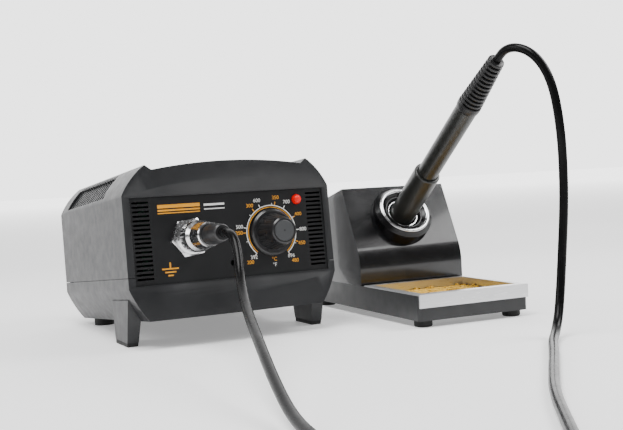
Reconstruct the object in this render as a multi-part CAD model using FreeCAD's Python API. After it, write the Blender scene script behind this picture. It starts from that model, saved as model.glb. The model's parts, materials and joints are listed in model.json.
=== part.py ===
"""Bench soldering station: a control unit pitched nose up, its plug-in iron and the iron's stand.

Millimetres. +X is to the right as the user sees it, +Y goes to the back and +Z is up. The origin
is on the bench, under the middle of the control unit and the stand together.
"""
import FreeCAD, Part
import math
import os

os.makedirs("parts", exist_ok=True)
V = FreeCAD.Vector

# Layout on the bench
UNIT_X = -57.8            # middle of the control unit
UNIT_Y = -39.15           # foot of its front plane
UNIT_PITCH = 5.15         # degrees nose up
STAND_X = 77.8            # middle of the stand's front edge
STAND_Y = -81.25
STAND_YAW = -2.4          # degrees

# Case of the control unit, in its own level frame
CASE_WIDTH = 130.0
CASE_DEPTH = 146.0
CASE_BOTTOM = 16.2
SIDE_LOW = 35.0           # lower end of the upright side
SIDE_HIGH = 87.6          # upper end of the upright side
RIDGE_Z = 104.5
ROOF_EDGE_Z = 101.6
ROOF_CROWN = 3.4
BOTTOM_INSET = 10.45      # how far the lower bevel runs in
RIDGE_INSET = 14.2        # how far the upper bevel runs in
RIDGE_WIDTH = 3.8
UPPER_BULGE = 1.4
LOWER_BULGE = 0.8
WALL = 2.2
SEAM_Z = 41.5
SEAM_GAP = 0.3
TONGUE = 1.2              # thickness of the lower shell's locating tongue
TONGUE_HEIGHT = 3.0
FRONT_BULGE = 4.0         # how far brow and chin stand forward in the middle
FRONT_WALL = 5.0
LENS_RISE = 8.7           # height of the sloped band above and below the panel
RECESS_Z = (35.4, 86.8)   # flat part of the front

# Front panel
PANEL_WINDOW = (60.7, 36.3, 86.2)   # half width, bottom, top
PANEL_LAP = 1.6
PANEL_SETBACK = 0.8
PANEL_THICKNESS = 2.0
SLOT_X = (49.6, 59.4)
SLOT_Z = (40.0, 83.2)
SLOT_COUNT = 18
SLOT_HEIGHT = 1.2
LED_AT = (43.2, 79.9)
LED_RADIUS = 2.9
TRIM_AT = (-1.0, 45.0)
TRIM_HOLE_RADIUS = 1.7
KNOB_AT = (25.2, 61.2)
SOCKET_AT = (-27.0, 61.6)
CLEARANCE = 0.1           # radial, round a fixed piece in its hole
RUNNING = 0.05            # radial, round a piece that turns or slides

# Side vents in the upper bevel
VENT_Y = (43.0, 128.0)
VENT_COUNT = 15
VENT_GAP = 3.4
VENT_X = (52.5, 62.8)

# Legs and feet
LEG_X = (54.0, 63.0)
LEG_TIP_X = (56.5, 62.6)
LEG_Y = (11.0, 43.0)
LEG_TIP_Y = (22.5, 43.0)
LEG_ROOT_Z = 29.0
LEG_TIP_Z = -4.0
PAD_THICKNESS = 2.4
REAR_FOOT = (46.0, 128.0, 6.5)      # x, y, radius

# Knob and potentiometer
KNOB_SKIRT_RADIUS = 13.8
KNOB_SKIRT_THICKNESS = 2.6
KNOB_GAP = 0.5            # between skirt and panel
KNOB_DEPTH = 18.5
KNOB_WAIST_RADIUS = 10.6
KNOB_FACE_RADIUS = 7.8
KNOB_FLUTES = 18
SHAFT_RADIUS = 3.0
BUSH_RADIUS = 3.5
BUSH_LENGTH = 3.6         # in front of the panel
POT_RADIUS = 8.25
POT_DEPTH = 9.0
POT_NUT = (10.0, 1.8)     # across flats, thickness

# Circuit board
BOARD_Y = 20.0
BOARD_THICKNESS = 1.6
BOARD = (50.0, 41.0, 85.0)          # half width, bottom, top
STANDOFF_RADIUS = 2.6
STANDOFF_AT = ((-44.0, 45.5), (44.0, 45.5), (-44.0, 80.5), (33.0, 80.5))
TRIMMER = (6.8, 5.0)      # side, depth
ROTOR_RADIUS = 1.5
ROTOR_LENGTH = 11.0

# Round connector of the iron's lead
THREAD_RADIUS = 8.0
SOCKET_NUT = (20.5, 4.2)  # across flats, thickness
SOCKET_REAR = 13.0
COUPLING_FRONT = 33.0     # how far the metal ring reaches in front of the panel plane
COUPLING_RIM_RADIUS = 9.6
COUPLING_RADIUS = 8.9
COUPLING_NECK_RADIUS = 6.6
KNURL_COUNT = 24
PLUG_BODY_RADIUS = 5.9
SLEEVE_RADII = (5.6, 4.7)
SLEEVE_END = 51.5

# Transformer
CORE = (57.0, 30.0, 47.5)           # width, stack, height
CORE_LEG = 19.0
CORE_WINDOW = (9.5, 28.5)
CORE_AT = (8.0, 92.0)
BOSS_HEIGHT = 4.0
BOSS_RADIUS = 4.6
BRACKET_SHEET = 1.2
BRACKET_TAB = 12.0
CORE_SCREW_RADIUS = 2.0

# Back of the control unit
REAR_PANEL_THICKNESS = 2.0
INLET_AT = (28.0, 52.0)
INLET_BODY = (27.0, 19.6, 20.0)     # width, height, depth
INLET_FLANGE = (50.0, 23.0, 2.0)
INLET_CAVITY = (24.0, 16.2, 16.0)
INLET_SCREW_PITCH = 40.0
SWITCH_AT = (-16.0, 52.0)
SWITCH_FRAME = (15.0, 21.0, 2.0)    # width, height, flange thickness
SWITCH_BODY = (12.8, 18.6, 13.0)
ROCKER = (10.6, 16.4)               # width, height
ROCKER_TILT = 9.0
FUSE_AT = (-44.0, 52.0)
FUSE_RADIUS = 6.0
FUSE_LENGTH = 24.0
FUSE_CAP_RADIUS = 7.0

# Stand, in its own frame: x = 0 in the middle, y = 0 at the front edge
STAND_WIDTH = 77.8
STAND_DEPTH = 150.0
BASE_BOTTOM = 4.0
BASE_TOP = 19.3
BASE_WALL = 1.6
BASE_FLANGE = 15.0
FOOT_AT = (31.8, 8.0, 141.0)        # x, front y, back y
FOOT_RADIUS = 5.6
TRAY_SHEET = 0.8
TRAY_LIP = 8.2
TRAY_DEPTH_Y = 69.2
TRAY_PAN = (34.6, 4.2, 65.2)        # half width, front, back
TRAY_PAN_DEPTH = 10.4
TRAY_CLEARANCE = 0.5
SPONGE_HEIGHT = 7.4
SPONGE_CLEARANCE = 0.7
SPONGE_HOLE = (13.0, 41.0, 5.5)     # x, y, radius
HOOD_SHEET = 1.4
HOOD_FRONT_Y = 73.4
HOOD_BEND_Z = (29.0, 44.0)          # where the front sheet curves from upright to sloped
HOOD_SLOPE = 26.0                   # degrees from upright
HOOD_PEAK_Z = 82.9
HOOD_ROOF_SLOPE = 14.0
HOOD_BACK_Y = 142.0
HOOD_TAB = 9.0
HOOD_SCREW_RADIUS = 1.6

# Iron holder and iron, along the iron's own axis; s = 0 where it crosses the hood's front
IRON_Z = 62.4
IRON_ANGLE = 37.6                   # degrees above level
RING_RADIUS = 20.5
RING_FRONT = 7.5
SPIGOT_RADIUS = 12.5
HOLDER_BORE = 9.0
SHOULDER_BORE = 6.9
SHOULDER_S = -2.0
GUARD_SHEET = 1.0
GUARD_END = -43.0
SLEEVE_RADIUS = 8.6
GRIP_END = 47.5
HANDLE_RADIUS = 6.75
HANDLE_BORE = 5.25
HANDLE_END = 109.5
BOOT_END = 150.1
BOOT_RADII = (7.4, 5.0)
BOOT_RIBS = 12
NUT_RADIUS = 6.3
BARREL_RADIUS = 3.8
BARREL_BORE = 3.2
BARREL_END = -40.0
HEATER_RADIUS = 2.0
TIP_SHANK_RADIUS = 3.15
TIP_END = -58.0

# Lead of the iron: routes chosen by hand, on the bench where z is one radius
CORD_RADIUS = 2.5
UNIT_SIDE_ROUTE = [
    (-84.8, -85.0, 66.0), (-84.9, -93.3, 66.8), (-85.5, -102.5, 63.4), (-87.1, -110.1, 54.8),
    (-91.3, -121.1, 43.6), (-99.4, -146.1, 32.6), (-110.5, -183.7, 23.6), (-120.5, -221.1, 12.6),
    (-127.8, -253.1, 4.6), (-131.3, -283.0, 2.5), (-132.4, -306.0, 2.8), (-133.0, -330.0, 7.5),
]
IRON_SIDE_ROUTE = [
    (-84.0, -368.0, 2.5), (-71.9, -345.1, 2.5), (-45.9, -307.1, 2.5), (-17.9, -267.1, 2.5),
    (9.1, -234.6, 2.5), (40.1, -198.1, 2.5), (57.7, -176.1, 2.5), (71.1, -162.5, 3.6),
    (79.5, -155.5, 11.0), (84.7, -151.7, 24.0), (87.7, -150.7, 44.0), (90.1, -151.1, 72.0),
    (90.3, -151.3, 96.0), (88.8, -151.9, 113.4), (87.5, -150.1, 131.2), (85.6, -147.2, 142.7),
    (83.1, -143.2, 150.9), (80.4, -137.9, 156.4), (78.0, -131.5, 159.3), (76.6, -124.8, 159.6),
    (76.2, -119.1, 157.65), (76.4, -114.5, 154.1),
]
COIL_CENTRE = (-112.0, -350.0)
COIL_RADII = (18.5, 36.0)
COIL_HEIGHT = 10.0


def box(x, y, z):
    """Block between three (low, high) pairs."""
    return Part.makeBox(x[1] - x[0], y[1] - y[0], z[1] - z[0], V(x[0], y[0], z[0]))


def rod(radius, start, end):
    axis = V(*end) - V(*start)
    return Part.makeCylinder(radius, axis.Length, V(*start), axis)


def tube(outer, inner, start, end):
    return rod(outer, start, end).cut(rod(inner, start, end))


def fuse_all(shapes):
    return shapes[0].multiFuse(shapes[1:]).removeSplitter() if len(shapes) > 1 else shapes[0]


def prism(points, vector):
    """Straight prism on a closed polygon of points."""
    corners = [V(*point) for point in points]
    return Part.Face(Part.makePolygon(corners + corners[:1])).extrude(V(*vector))


def prism_along_x(points_yz, x):
    return prism([(x[0], y, z) for y, z in points_yz], (x[1] - x[0], 0, 0))


def turned(profile, origin=(0, 0, 0), axis=(0, 0, 1)):
    """Solid of revolution from (distance along the axis, radius) points."""
    corners = [V(radius, 0, distance) for distance, radius in profile]
    solid = Part.Face(Part.makePolygon(corners + corners[:1])).revolve(V(), V(0, 0, 1), 360)
    solid.Placement = FreeCAD.Placement(V(*origin), FreeCAD.Rotation(V(0, 0, 1), V(*axis)))
    return solid


def hex_nut(across_flats, thickness, hole_radius, origin, axis, turn=0.0):
    """Hexagonal nut with chamfered corners; the thickness runs from the origin along the axis."""
    corner = across_flats / math.sqrt(3)
    angles = [math.radians(60 * step + turn) for step in range(6)]
    body = prism([(corner * math.cos(a), corner * math.sin(a), 0) for a in angles],
                 (0, 0, thickness))
    chamfer = 0.12 * corner
    rounding = turned([(0, 0), (0, corner), (thickness - chamfer / 2, corner),
                       (thickness, corner - chamfer), (thickness, 0)])
    nut = body.common(rounding).cut(rod(hole_radius, (0, 0, -1), (0, 0, thickness + 1)))
    nut.Placement = FreeCAD.Placement(V(*origin), FreeCAD.Rotation(V(0, 0, 1), V(*axis)))
    return nut


def screw(radius, length, origin, axis, head=(1.9, 0.7)):
    """Pan-head screw: the head stands behind the origin and the shank runs along the axis."""
    head_radius = radius * head[0]
    head_height = 2 * radius * head[1]
    profile = [(-head_height, 0), (-head_height, head_radius * 0.8),
               (-head_height * 0.5, head_radius), (0, head_radius), (0, radius),
               (length, radius), (length, 0)]
    body = turned(profile)
    slot = box((-head_radius, head_radius), (-radius * 0.2, radius * 0.2),
               (-head_height - 0.1, -head_height * 0.45))
    body = body.cut(slot).cut(slot.rotated(V(), V(0, 0, 1), 90))
    body.Placement = FreeCAD.Placement(V(*origin), FreeCAD.Rotation(V(0, 0, 1), V(*axis)))
    return body


def hood_front_y(z):
    """Outer face of the hood's sloped front at height z."""
    slope = math.radians(HOOD_SLOPE)
    low, high = HOOD_BEND_Z
    bend_radius = (high - low) / math.sin(slope)
    bend_y = HOOD_FRONT_Y + bend_radius * (1 - math.cos(slope))
    return bend_y + (z - high) * math.tan(slope)


UNIT = FreeCAD.Placement(V(UNIT_X, UNIT_Y, 0), FreeCAD.Rotation(V(1, 0, 0), -UNIT_PITCH))
STAND = FreeCAD.Placement(V(STAND_X, STAND_Y, 0), FreeCAD.Rotation(V(0, 0, 1), STAND_YAW))
IRON_Y = hood_front_y(IRON_Z)
IRON_RADIANS = math.radians(IRON_ANGLE)
IRON = STAND.multiply(FreeCAD.Placement(
    V(0, IRON_Y, IRON_Z),
    FreeCAD.Rotation(V(0, 0, 1), V(0, -math.cos(IRON_RADIANS), math.sin(IRON_RADIANS)))))


def placed(shape, placement):
    moved = shape.copy()
    moved.Placement = placement.multiply(moved.Placement)
    return moved


def export(shape, node):
    shape.exportStep(f"parts/{node}.step")


# ---------------------------------------------------------------- case of the control unit

def arc_edge(start, end, bulge):
    """Edge in a plane y = constant that bows out by bulge to the right of its direction."""
    middle = (V(*start) + V(*end)) * 0.5
    along = V(*end) - V(*start)
    outward = V(along.z, 0, -along.x).normalize()
    return Part.Arc(V(*start), middle + outward * bulge, V(*end)).toShape()


def case_outline(y):
    """Outer cross-section of the case: bevelled corners, two ridges and a crowned roof."""
    half = CASE_WIDTH / 2
    floor = half - BOTTOM_INSET
    ridge = half - RIDGE_INSET
    roof = ridge - RIDGE_WIDTH
    stations = [(-floor, CASE_BOTTOM, 0), (floor, CASE_BOTTOM, LOWER_BULGE), (half, SIDE_LOW, 0),
                (half, SIDE_HIGH, UPPER_BULGE), (ridge, RIDGE_Z, 0),
                (roof, ROOF_EDGE_Z, ROOF_CROWN), (-roof, ROOF_EDGE_Z, 0),
                (-ridge, RIDGE_Z, UPPER_BULGE), (-half, SIDE_HIGH, 0), (-half, SIDE_LOW, LOWER_BULGE)]
    edges = []
    for index, (x, z, bulge) in enumerate(stations):
        next_x, next_z, _ = stations[(index + 1) % len(stations)]
        start, end = (x, y, z), (next_x, y, next_z)
        edges.append(arc_edge(start, end, bulge) if bulge
                     else Part.makeLine(V(*start), V(*end)))
    return Part.Face(Part.Wire(edges))


def cavity_points(inset):
    """Corners of the inner cross-section, the wall's thickness plus inset inside the outer one."""
    depth = WALL + inset
    half = CASE_WIDTH / 2 - depth
    floor = CASE_WIDTH / 2 - BOTTOM_INSET - depth * 0.6
    roof = CASE_WIDTH / 2 - RIDGE_INSET - RIDGE_WIDTH - depth * 0.3
    return [(-floor, CASE_BOTTOM + depth), (floor, CASE_BOTTOM + depth),
            (half, SIDE_LOW + depth * 0.3), (half, SIDE_HIGH - depth * 0.6),
            (roof, ROOF_EDGE_Z - depth), (-roof, ROOF_EDGE_Z - depth),
            (-half, SIDE_HIGH - depth * 0.6), (-half, SIDE_LOW + depth * 0.3)]


def cavity(inset, y):
    return prism([(x, y[0], z) for x, z in cavity_points(inset)], (0, y[1] - y[0], 0))


def panel_block(grow, y):
    half, low, high = PANEL_WINDOW
    return box((-half - grow, half + grow), y, (low - grow, high + grow))


def front_recess():
    """What is cut off the bulged front: the flat round the panel and its two sloped bands."""
    low, high = RECESS_Z
    reach = FRONT_BULGE + 1
    rise = LENS_RISE * reach / FRONT_BULGE
    outline = [(0, low), (0, high), (-reach, high + rise), (-reach, low - rise)]
    return prism_along_x(outline, (-CASE_WIDTH, CASE_WIDTH))


def vent_slots():
    """Gaps between the upright fins of the two side vents."""
    pitch = (VENT_Y[1] - VENT_Y[0]) / VENT_COUNT
    gaps = []
    for index in range(VENT_COUNT):
        start = VENT_Y[0] + index * pitch
        for side in (-1, 1):
            x = sorted((side * VENT_X[0], side * VENT_X[1]))
            gaps.append(box(x, (start, start + VENT_GAP), (SIDE_HIGH - 1.0, RIDGE_Z)))
    return gaps


def vent_recesses():
    """Shallow pocket over each side vent, parallel to the bevel."""
    pockets = []
    run = V(-RIDGE_INSET, 0, RIDGE_Z - SIDE_HIGH).normalize()
    inward = V(run.z, 0, -run.x) * -1.0
    for side in (-1, 1):
        start = V(CASE_WIDTH / 2, 0, SIDE_HIGH) + run * 2.2
        end = start + run * 15.0
        ring = [start + inward * 0.6, end + inward * 0.6, end - inward * 4.0,
                start - inward * 4.0]
        points = [(side * corner.x, VENT_Y[0] - 1.5, corner.z) for corner in ring]
        pockets.append(prism(points, (0, VENT_Y[1] - VENT_Y[0] + 3.0, 0)))
    return pockets


def case_shell():
    """Both shells in one piece, before they part at the seam."""
    outline = case_outline(-FRONT_BULGE)
    outer = outline.extrude(V(0, CASE_DEPTH + FRONT_BULGE, 0))
    radius = ((CASE_WIDTH / 2) ** 2 + FRONT_BULGE ** 2) / (2 * FRONT_BULGE)
    bow = rod(radius, (0, radius - FRONT_BULGE, -1), (0, radius - FRONT_BULGE, RIDGE_Z + 9))
    shell = outer.common(bow).cut(cavity(0, (FRONT_WALL, CASE_DEPTH + 1)))
    shell = shell.cut(front_recess())
    shell = shell.cut(panel_block(0, (-1, FRONT_WALL + 1)))
    shell = shell.cut(panel_block(PANEL_LAP, (PANEL_SETBACK, FRONT_WALL + 1)))
    return shell.cut(Part.makeCompound(vent_recesses())).cut(Part.makeCompound(vent_slots()))


def leg(side):
    """Tapered front leg, long enough to be trimmed by the bench."""
    loops = []
    for x, y, z in ((LEG_X, LEG_Y, LEG_ROOT_Z), (LEG_TIP_X, LEG_TIP_Y, LEG_TIP_Z)):
        corners = [V(side * x[0], y[0], z), V(side * x[1], y[0], z),
                   V(side * x[1], y[1], z), V(side * x[0], y[1], z)]
        loops.append(Part.makePolygon(corners + corners[:1]))
    return Part.makeLoft(loops, True, True)


def slab(low, high):
    """Level slab of the bench frame that covers everything between two heights."""
    reach = 4 * CASE_DEPTH
    return box((-reach, reach), (-reach, reach), (low, high))


def boss(x, y):
    return tube(BOSS_RADIUS, CORE_SCREW_RADIUS + RUNNING,
                (x, y, CASE_BOTTOM + WALL - 0.5), (x, y, CASE_BOTTOM + WALL + BOSS_HEIGHT))


def core_feet():
    """Places of the transformer's two screws."""
    reach = CORE[0] / 2 + BRACKET_SHEET + BRACKET_TAB * 0.55
    return [(CORE_AT[0] - reach, CORE_AT[1]), (CORE_AT[0] + reach, CORE_AT[1])]


def case_parts(shell):
    lower_space = box((-CASE_WIDTH, CASE_WIDTH), (-20, CASE_DEPTH + 20), (-20, SEAM_Z))
    upper = shell.cut(lower_space)
    gap_space = lower_space.translated(V(0, 0, -SEAM_GAP))
    lower = shell.common(gap_space)
    band = (SEAM_Z - SEAM_GAP - TONGUE_HEIGHT, SEAM_Z + TONGUE_HEIGHT)
    ring = cavity(0, (FRONT_WALL + 5, CASE_DEPTH - 12))
    ring = ring.cut(cavity(TONGUE, (FRONT_WALL, CASE_DEPTH)))
    ring = ring.common(box((-CASE_WIDTH, CASE_WIDTH), (0, CASE_DEPTH), band))
    outer = case_outline(0).extrude(V(0, CASE_DEPTH, 0))
    legs = [leg(side).cut(cavity(0, (0, CASE_DEPTH))) for side in (-1, 1)]
    bosses = [boss(x, y) for x, y in core_feet()]
    lower = fuse_all([lower, ring] + legs + bosses)
    for x, y in core_feet():
        lower = lower.cut(rod(CORE_SCREW_RADIUS + RUNNING, (x, y, CASE_BOTTOM + 0.6),
                              (x, y, CASE_BOTTOM + WALL + BOSS_HEIGHT + 1)))
    lower = placed(lower, UNIT).cut(slab(-60, PAD_THICKNESS))
    export(placed(upper, UNIT), "upper_shell")
    export(lower, "lower_shell")
    pads = [placed(leg(side), UNIT).common(slab(0, PAD_THICKNESS)) for side in (-1, 1)]
    export(Part.makeCompound(pads), "leg_pads")
    body = placed(outer, UNIT)
    rear_feet = []
    for side in (-1, 1):
        base = UNIT.multVec(V(side * REAR_FOOT[0], REAR_FOOT[1], 0))
        rear_feet.append(rod(REAR_FOOT[2], (base.x, base.y, 0), (base.x, base.y, 12)).cut(body))
    export(Part.makeCompound(rear_feet), "rear_feet")


# ---------------------------------------------------------------- front panel and its pieces

def front_hole(at, radius, y=(-1.0, PANEL_SETBACK + PANEL_THICKNESS + 1)):
    return rod(radius, (at[0], y[0], at[1]), (at[0], y[1], at[1]))


def front_panel():
    back = PANEL_SETBACK + PANEL_THICKNESS
    panel = panel_block(PANEL_LAP, (PANEL_SETBACK, back))
    pitch = (SLOT_Z[1] - SLOT_Z[0]) / (SLOT_COUNT - 1)
    slots = []
    for index in range(SLOT_COUNT):
        z = SLOT_Z[0] + index * pitch
        for side in (-1, 1):
            x = sorted((side * SLOT_X[0], side * SLOT_X[1]))
            slots.append(box(x, (0, back + 1), (z - SLOT_HEIGHT / 2, z + SLOT_HEIGHT / 2)))
    holes = [front_hole(LED_AT, LED_RADIUS + CLEARANCE), front_hole(TRIM_AT, TRIM_HOLE_RADIUS),
             front_hole(KNOB_AT, BUSH_RADIUS + CLEARANCE),
             front_hole(SOCKET_AT, THREAD_RADIUS + CLEARANCE)]
    panel = panel.cut(Part.makeCompound(slots)).cut(Part.makeCompound(holes))
    export(placed(panel, UNIT), "front_panel")


def led():
    x, z = LED_AT
    back = PANEL_SETBACK + PANEL_THICKNESS
    lens = turned([(0, 0), (0, LED_RADIUS + 0.5), (1, LED_RADIUS + 0.5), (1, LED_RADIUS),
                   (back + 1.2, LED_RADIUS), (back + 2.6, LED_RADIUS * 0.8),
                   (back + 3.4, LED_RADIUS * 0.45), (back + 3.7, 0)],
                  (x, back + 1.0, z), (0, -1, 0))
    export(placed(lens, UNIT), "led_lens")
    leads = [box((x + dx - 0.3, x + dx + 0.3), (back + 1.0, BOARD_Y), (z - 0.3, z + 0.3))
             for dx in (-1.27, 1.27)]
    export(placed(Part.makeCompound(leads), UNIT), "led_leads")


def potentiometer():
    x, z = KNOB_AT
    front = PANEL_SETBACK
    back = PANEL_SETBACK + PANEL_THICKNESS
    body = rod(POT_RADIUS, (x, back, z), (x, back + POT_DEPTH, z))
    bush = rod(BUSH_RADIUS, (x, front - BUSH_LENGTH, z), (x, back + 1, z))
    lugs = [box((x + dx - 0.6, x + dx + 0.6), (back + POT_DEPTH - 2, BOARD_Y),
                (z - POT_RADIUS + 1, z - POT_RADIUS + 1.6)) for dx in (-2.5, 0, 2.5)]
    bore = rod(SHAFT_RADIUS + RUNNING, (x, front - BUSH_LENGTH - 1, z),
               (x, back + POT_DEPTH - 2, z))
    export(placed(fuse_all([body, bush] + lugs).cut(bore), UNIT), "potentiometer_body")
    shaft_end = front - KNOB_DEPTH + 4
    shaft = rod(SHAFT_RADIUS, (x, shaft_end, z), (x, back + POT_DEPTH - 2.2, z))
    export(placed(shaft, UNIT), "potentiometer_shaft")
    nut = hex_nut(POT_NUT[0], POT_NUT[1], BUSH_RADIUS + RUNNING, (x, front, z), (0, -1, 0))
    export(placed(nut, UNIT), "potentiometer_nut")


def knob():
    """Skirted knob: it stands forward from a little off the panel; distances run forward."""
    x, z = KNOB_AT
    depth = KNOB_DEPTH - KNOB_GAP
    skirt = KNOB_SKIRT_THICKNESS
    face = KNOB_FACE_RADIUS
    origin, axis = (x, PANEL_SETBACK - KNOB_GAP, z), (0, -1, 0)
    body = turned([(0, 0), (0, KNOB_SKIRT_RADIUS), (skirt * 0.6, KNOB_SKIRT_RADIUS),
                   (skirt, KNOB_SKIRT_RADIUS - 1.2), (skirt, KNOB_WAIST_RADIUS + 0.4),
                   (skirt + 1.2, KNOB_WAIST_RADIUS), (depth - 0.8, face), (depth, face - 0.8),
                   (depth, 0)], origin, axis)
    hollow = turned([(-1, 0), (-1, 6.6), (BUSH_LENGTH + 0.4, 6.6), (BUSH_LENGTH + 0.4, 0)],
                    origin, axis)
    bore = turned([(0, 0), (0, SHAFT_RADIUS), (depth - 4 + 0.1, SHAFT_RADIUS),
                   (depth - 4 + 0.1, 0)], origin, axis)
    cap_seat = turned([(depth - 1.4, 0), (depth - 1.4, face - 1.6), (depth + 1, face - 1.6),
                       (depth + 1, 0)], origin, axis)
    flutes = []
    for index in range(KNOB_FLUTES):
        angle = 2 * math.pi * (index + 0.5) / KNOB_FLUTES
        low = V(math.cos(angle), 0, math.sin(angle)) * (KNOB_WAIST_RADIUS + 0.75)
        high = V(math.cos(angle), 0, math.sin(angle)) * (face + 0.75)
        start = V(*origin) + low + V(0, -skirt - 1.2, 0)
        end = V(*origin) + high + V(0, -depth - 1, 0)
        flutes.append(rod(1.1, tuple(start), tuple(end)))
    pointer = box((x + KNOB_WAIST_RADIUS + 0.8, x + KNOB_SKIRT_RADIUS + 1),
                  (origin[1] - skirt - 1, origin[1] - skirt + 0.4), (z - 0.6, z + 0.6))
    body = body.cut(hollow).cut(bore).cut(cap_seat).cut(Part.makeCompound(flutes)).cut(pointer)
    export(placed(body, UNIT), "knob_body")
    cap = turned([(depth - 1.4, 0), (depth - 1.4, face - 1.7), (depth - 0.1, face - 1.7),
                  (depth + 0.1, face - 2.1), (depth + 0.1, 0)], origin, axis)
    export(placed(cap, UNIT), "knob_cap")


def circuit_board():
    half, low, high = BOARD
    back = PANEL_SETBACK + PANEL_THICKNESS
    board = box((-half, half), (BOARD_Y, BOARD_Y + BOARD_THICKNESS), (low, high))
    holes = [rod(1.6, (x, BOARD_Y - 1, z), (x, BOARD_Y + 3, z)) for x, z in STANDOFF_AT]
    export(placed(board.cut(Part.makeCompound(holes)), UNIT), "circuit_board")
    standoffs = [tube(STANDOFF_RADIUS, 1.5 + RUNNING, (x, back, z), (x, BOARD_Y, z))
                 for x, z in STANDOFF_AT]
    export(placed(Part.makeCompound(standoffs), UNIT), "board_standoffs")
    screws = [screw(1.5, 6.0, (x, BOARD_Y + BOARD_THICKNESS, z), (0, -1, 0))
              for x, z in STANDOFF_AT]
    export(placed(Part.makeCompound(screws), UNIT), "board_screws")


def calibration_trimmer():
    x, z = TRIM_AT
    side, depth = TRIMMER
    front = BOARD_Y - depth
    body = box((x - side / 2, x + side / 2), (front, BOARD_Y), (z - side / 2, z + side / 2))
    body = body.cut(rod(ROTOR_RADIUS + RUNNING, (x, front - 1, z), (x, front + 3, z)))
    export(placed(body, UNIT), "trimmer_body")
    rotor = rod(ROTOR_RADIUS, (x, front - ROTOR_LENGTH + 3, z), (x, front + 2.9, z))
    slot = box((x - 2, x + 2), (front - ROTOR_LENGTH + 2, front - ROTOR_LENGTH + 3.8),
               (z - 0.3, z + 0.3))
    export(placed(rotor.cut(slot), UNIT), "trimmer_rotor")


def board_parts():
    """Power parts on the back of the board: heat sink, switching device and smoothing cans."""
    face = BOARD_Y + BOARD_THICKNESS
    sink = [box((30, 33), (face, face + 22), (48, 76))]
    sink += [box((33, 41), (face + 1 + 4 * fin, face + 2.2 + 4 * fin), (48, 76))
             for fin in range(6)]
    export(placed(fuse_all(sink), UNIT), "heat_sink")
    device = fuse_all([box((25.5, 30), (face + 4, face + 14), (54, 69)),
                       box((27, 28), (face, face + 5), (56, 57)),
                       box((27, 28), (face, face + 5), (61, 62)),
                       box((27, 28), (face, face + 5), (66, 67))])
    export(placed(device, UNIT), "triac")
    cans = [rod(6.5, (x, face, z), (x, face + 24, z)) for x, z in ((-10, 54), (-10, 72))]
    export(placed(Part.makeCompound(cans), UNIT), "smoothing_capacitors")


# ---------------------------------------------------------------- connector of the iron's lead

def socket():
    x, z = SOCKET_AT
    front = PANEL_SETBACK
    back = PANEL_SETBACK + PANEL_THICKNESS
    mouth = front - SOCKET_NUT[1] - 10.0
    shell = fuse_all([rod(THREAD_RADIUS, (x, mouth, z), (x, back + SOCKET_REAR, z)),
                      rod(THREAD_RADIUS + 2, (x, back, z), (x, back + 2, z))])
    shell = shell.cut(rod(THREAD_RADIUS - 1.4, (x, mouth - 1, z), (x, back + SOCKET_REAR + 1, z)))
    export(placed(shell, UNIT), "socket_shell")
    nut = hex_nut(SOCKET_NUT[0], SOCKET_NUT[1], THREAD_RADIUS + RUNNING, (x, front, z),
                  (0, -1, 0), turn=8.0)
    export(placed(nut, UNIT), "socket_nut")
    disc = rod(THREAD_RADIUS - 1.4, (x, front - 1, z), (x, back + SOCKET_REAR - 1, z))
    spots = [(x + 3.6 * math.cos(math.radians(a)), z + 3.6 * math.sin(math.radians(a)))
             for a in (18, 90, 162, 234, 306)]
    holes = [rod(0.8, (px, front - 2, pz), (px, back + SOCKET_REAR, pz)) for px, pz in spots]
    export(placed(disc.cut(Part.makeCompound(holes)), UNIT), "socket_insulator")
    pins = [rod(0.8, (px, front - 6, pz), (px, back + SOCKET_REAR + 2, pz)) for px, pz in spots]
    export(placed(Part.makeCompound(pins), UNIT), "socket_pins")


def plug():
    """Plug on the lead: distances run forward from the panel's face."""
    x, z = SOCKET_AT
    origin, axis = (x, PANEL_SETBACK, z), (0, -1, 0)
    rear = SOCKET_NUT[1] + 0.3
    end = COUPLING_FRONT + PANEL_SETBACK
    bore = THREAD_RADIUS + RUNNING
    thread_end = SOCKET_NUT[1] + 10.4
    ring = turned([(rear, bore), (rear, COUPLING_RIM_RADIUS), (rear + 2.4, COUPLING_RIM_RADIUS),
                   (rear + 2.9, COUPLING_RADIUS - 1.0 + 0.3), (rear + 4.3, COUPLING_RADIUS - 0.7),
                   (rear + 4.9, COUPLING_RADIUS), (end - 15, COUPLING_RADIUS),
                   (end - 12.5, COUPLING_RADIUS - 1.3), (end - 1.0, COUPLING_NECK_RADIUS + 0.4),
                   (end, COUPLING_NECK_RADIUS), (end, PLUG_BODY_RADIUS + RUNNING),
                   (thread_end, PLUG_BODY_RADIUS + RUNNING), (thread_end, bore)], origin, axis)
    grooves = []
    for index in range(KNURL_COUNT):
        angle = 2 * math.pi * index / KNURL_COUNT
        reach = COUPLING_RADIUS + 0.35
        at = V(x + reach * math.cos(angle), 0, z + reach * math.sin(angle))
        grooves.append(rod(0.7, (at.x, PANEL_SETBACK - rear - 5.6, at.z),
                           (at.x, PANEL_SETBACK - end + 15.5, at.z)))
    export(placed(ring.cut(Part.makeCompound(grooves)), UNIT), "coupling_ring")
    sleeve_end = SLEEVE_END + PANEL_SETBACK
    body = turned([(thread_end + 0.3, 0), (thread_end + 0.3, PLUG_BODY_RADIUS),
                   (end + 1.5, PLUG_BODY_RADIUS), (end + 1.5, 0)], origin, axis)
    export(placed(body, UNIT), "plug_body")
    sleeve = turned([(end + 1.5, 0), (end + 1.5, SLEEVE_RADII[0]),
                     (end + 9, SLEEVE_RADII[0] - 0.1), (sleeve_end - 1, SLEEVE_RADII[1]),
                     (sleeve_end, SLEEVE_RADII[1] - 0.7), (sleeve_end, 0)], origin, axis)
    export(placed(sleeve, UNIT), "plug_sleeve")


# ---------------------------------------------------------------- transformer

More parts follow.
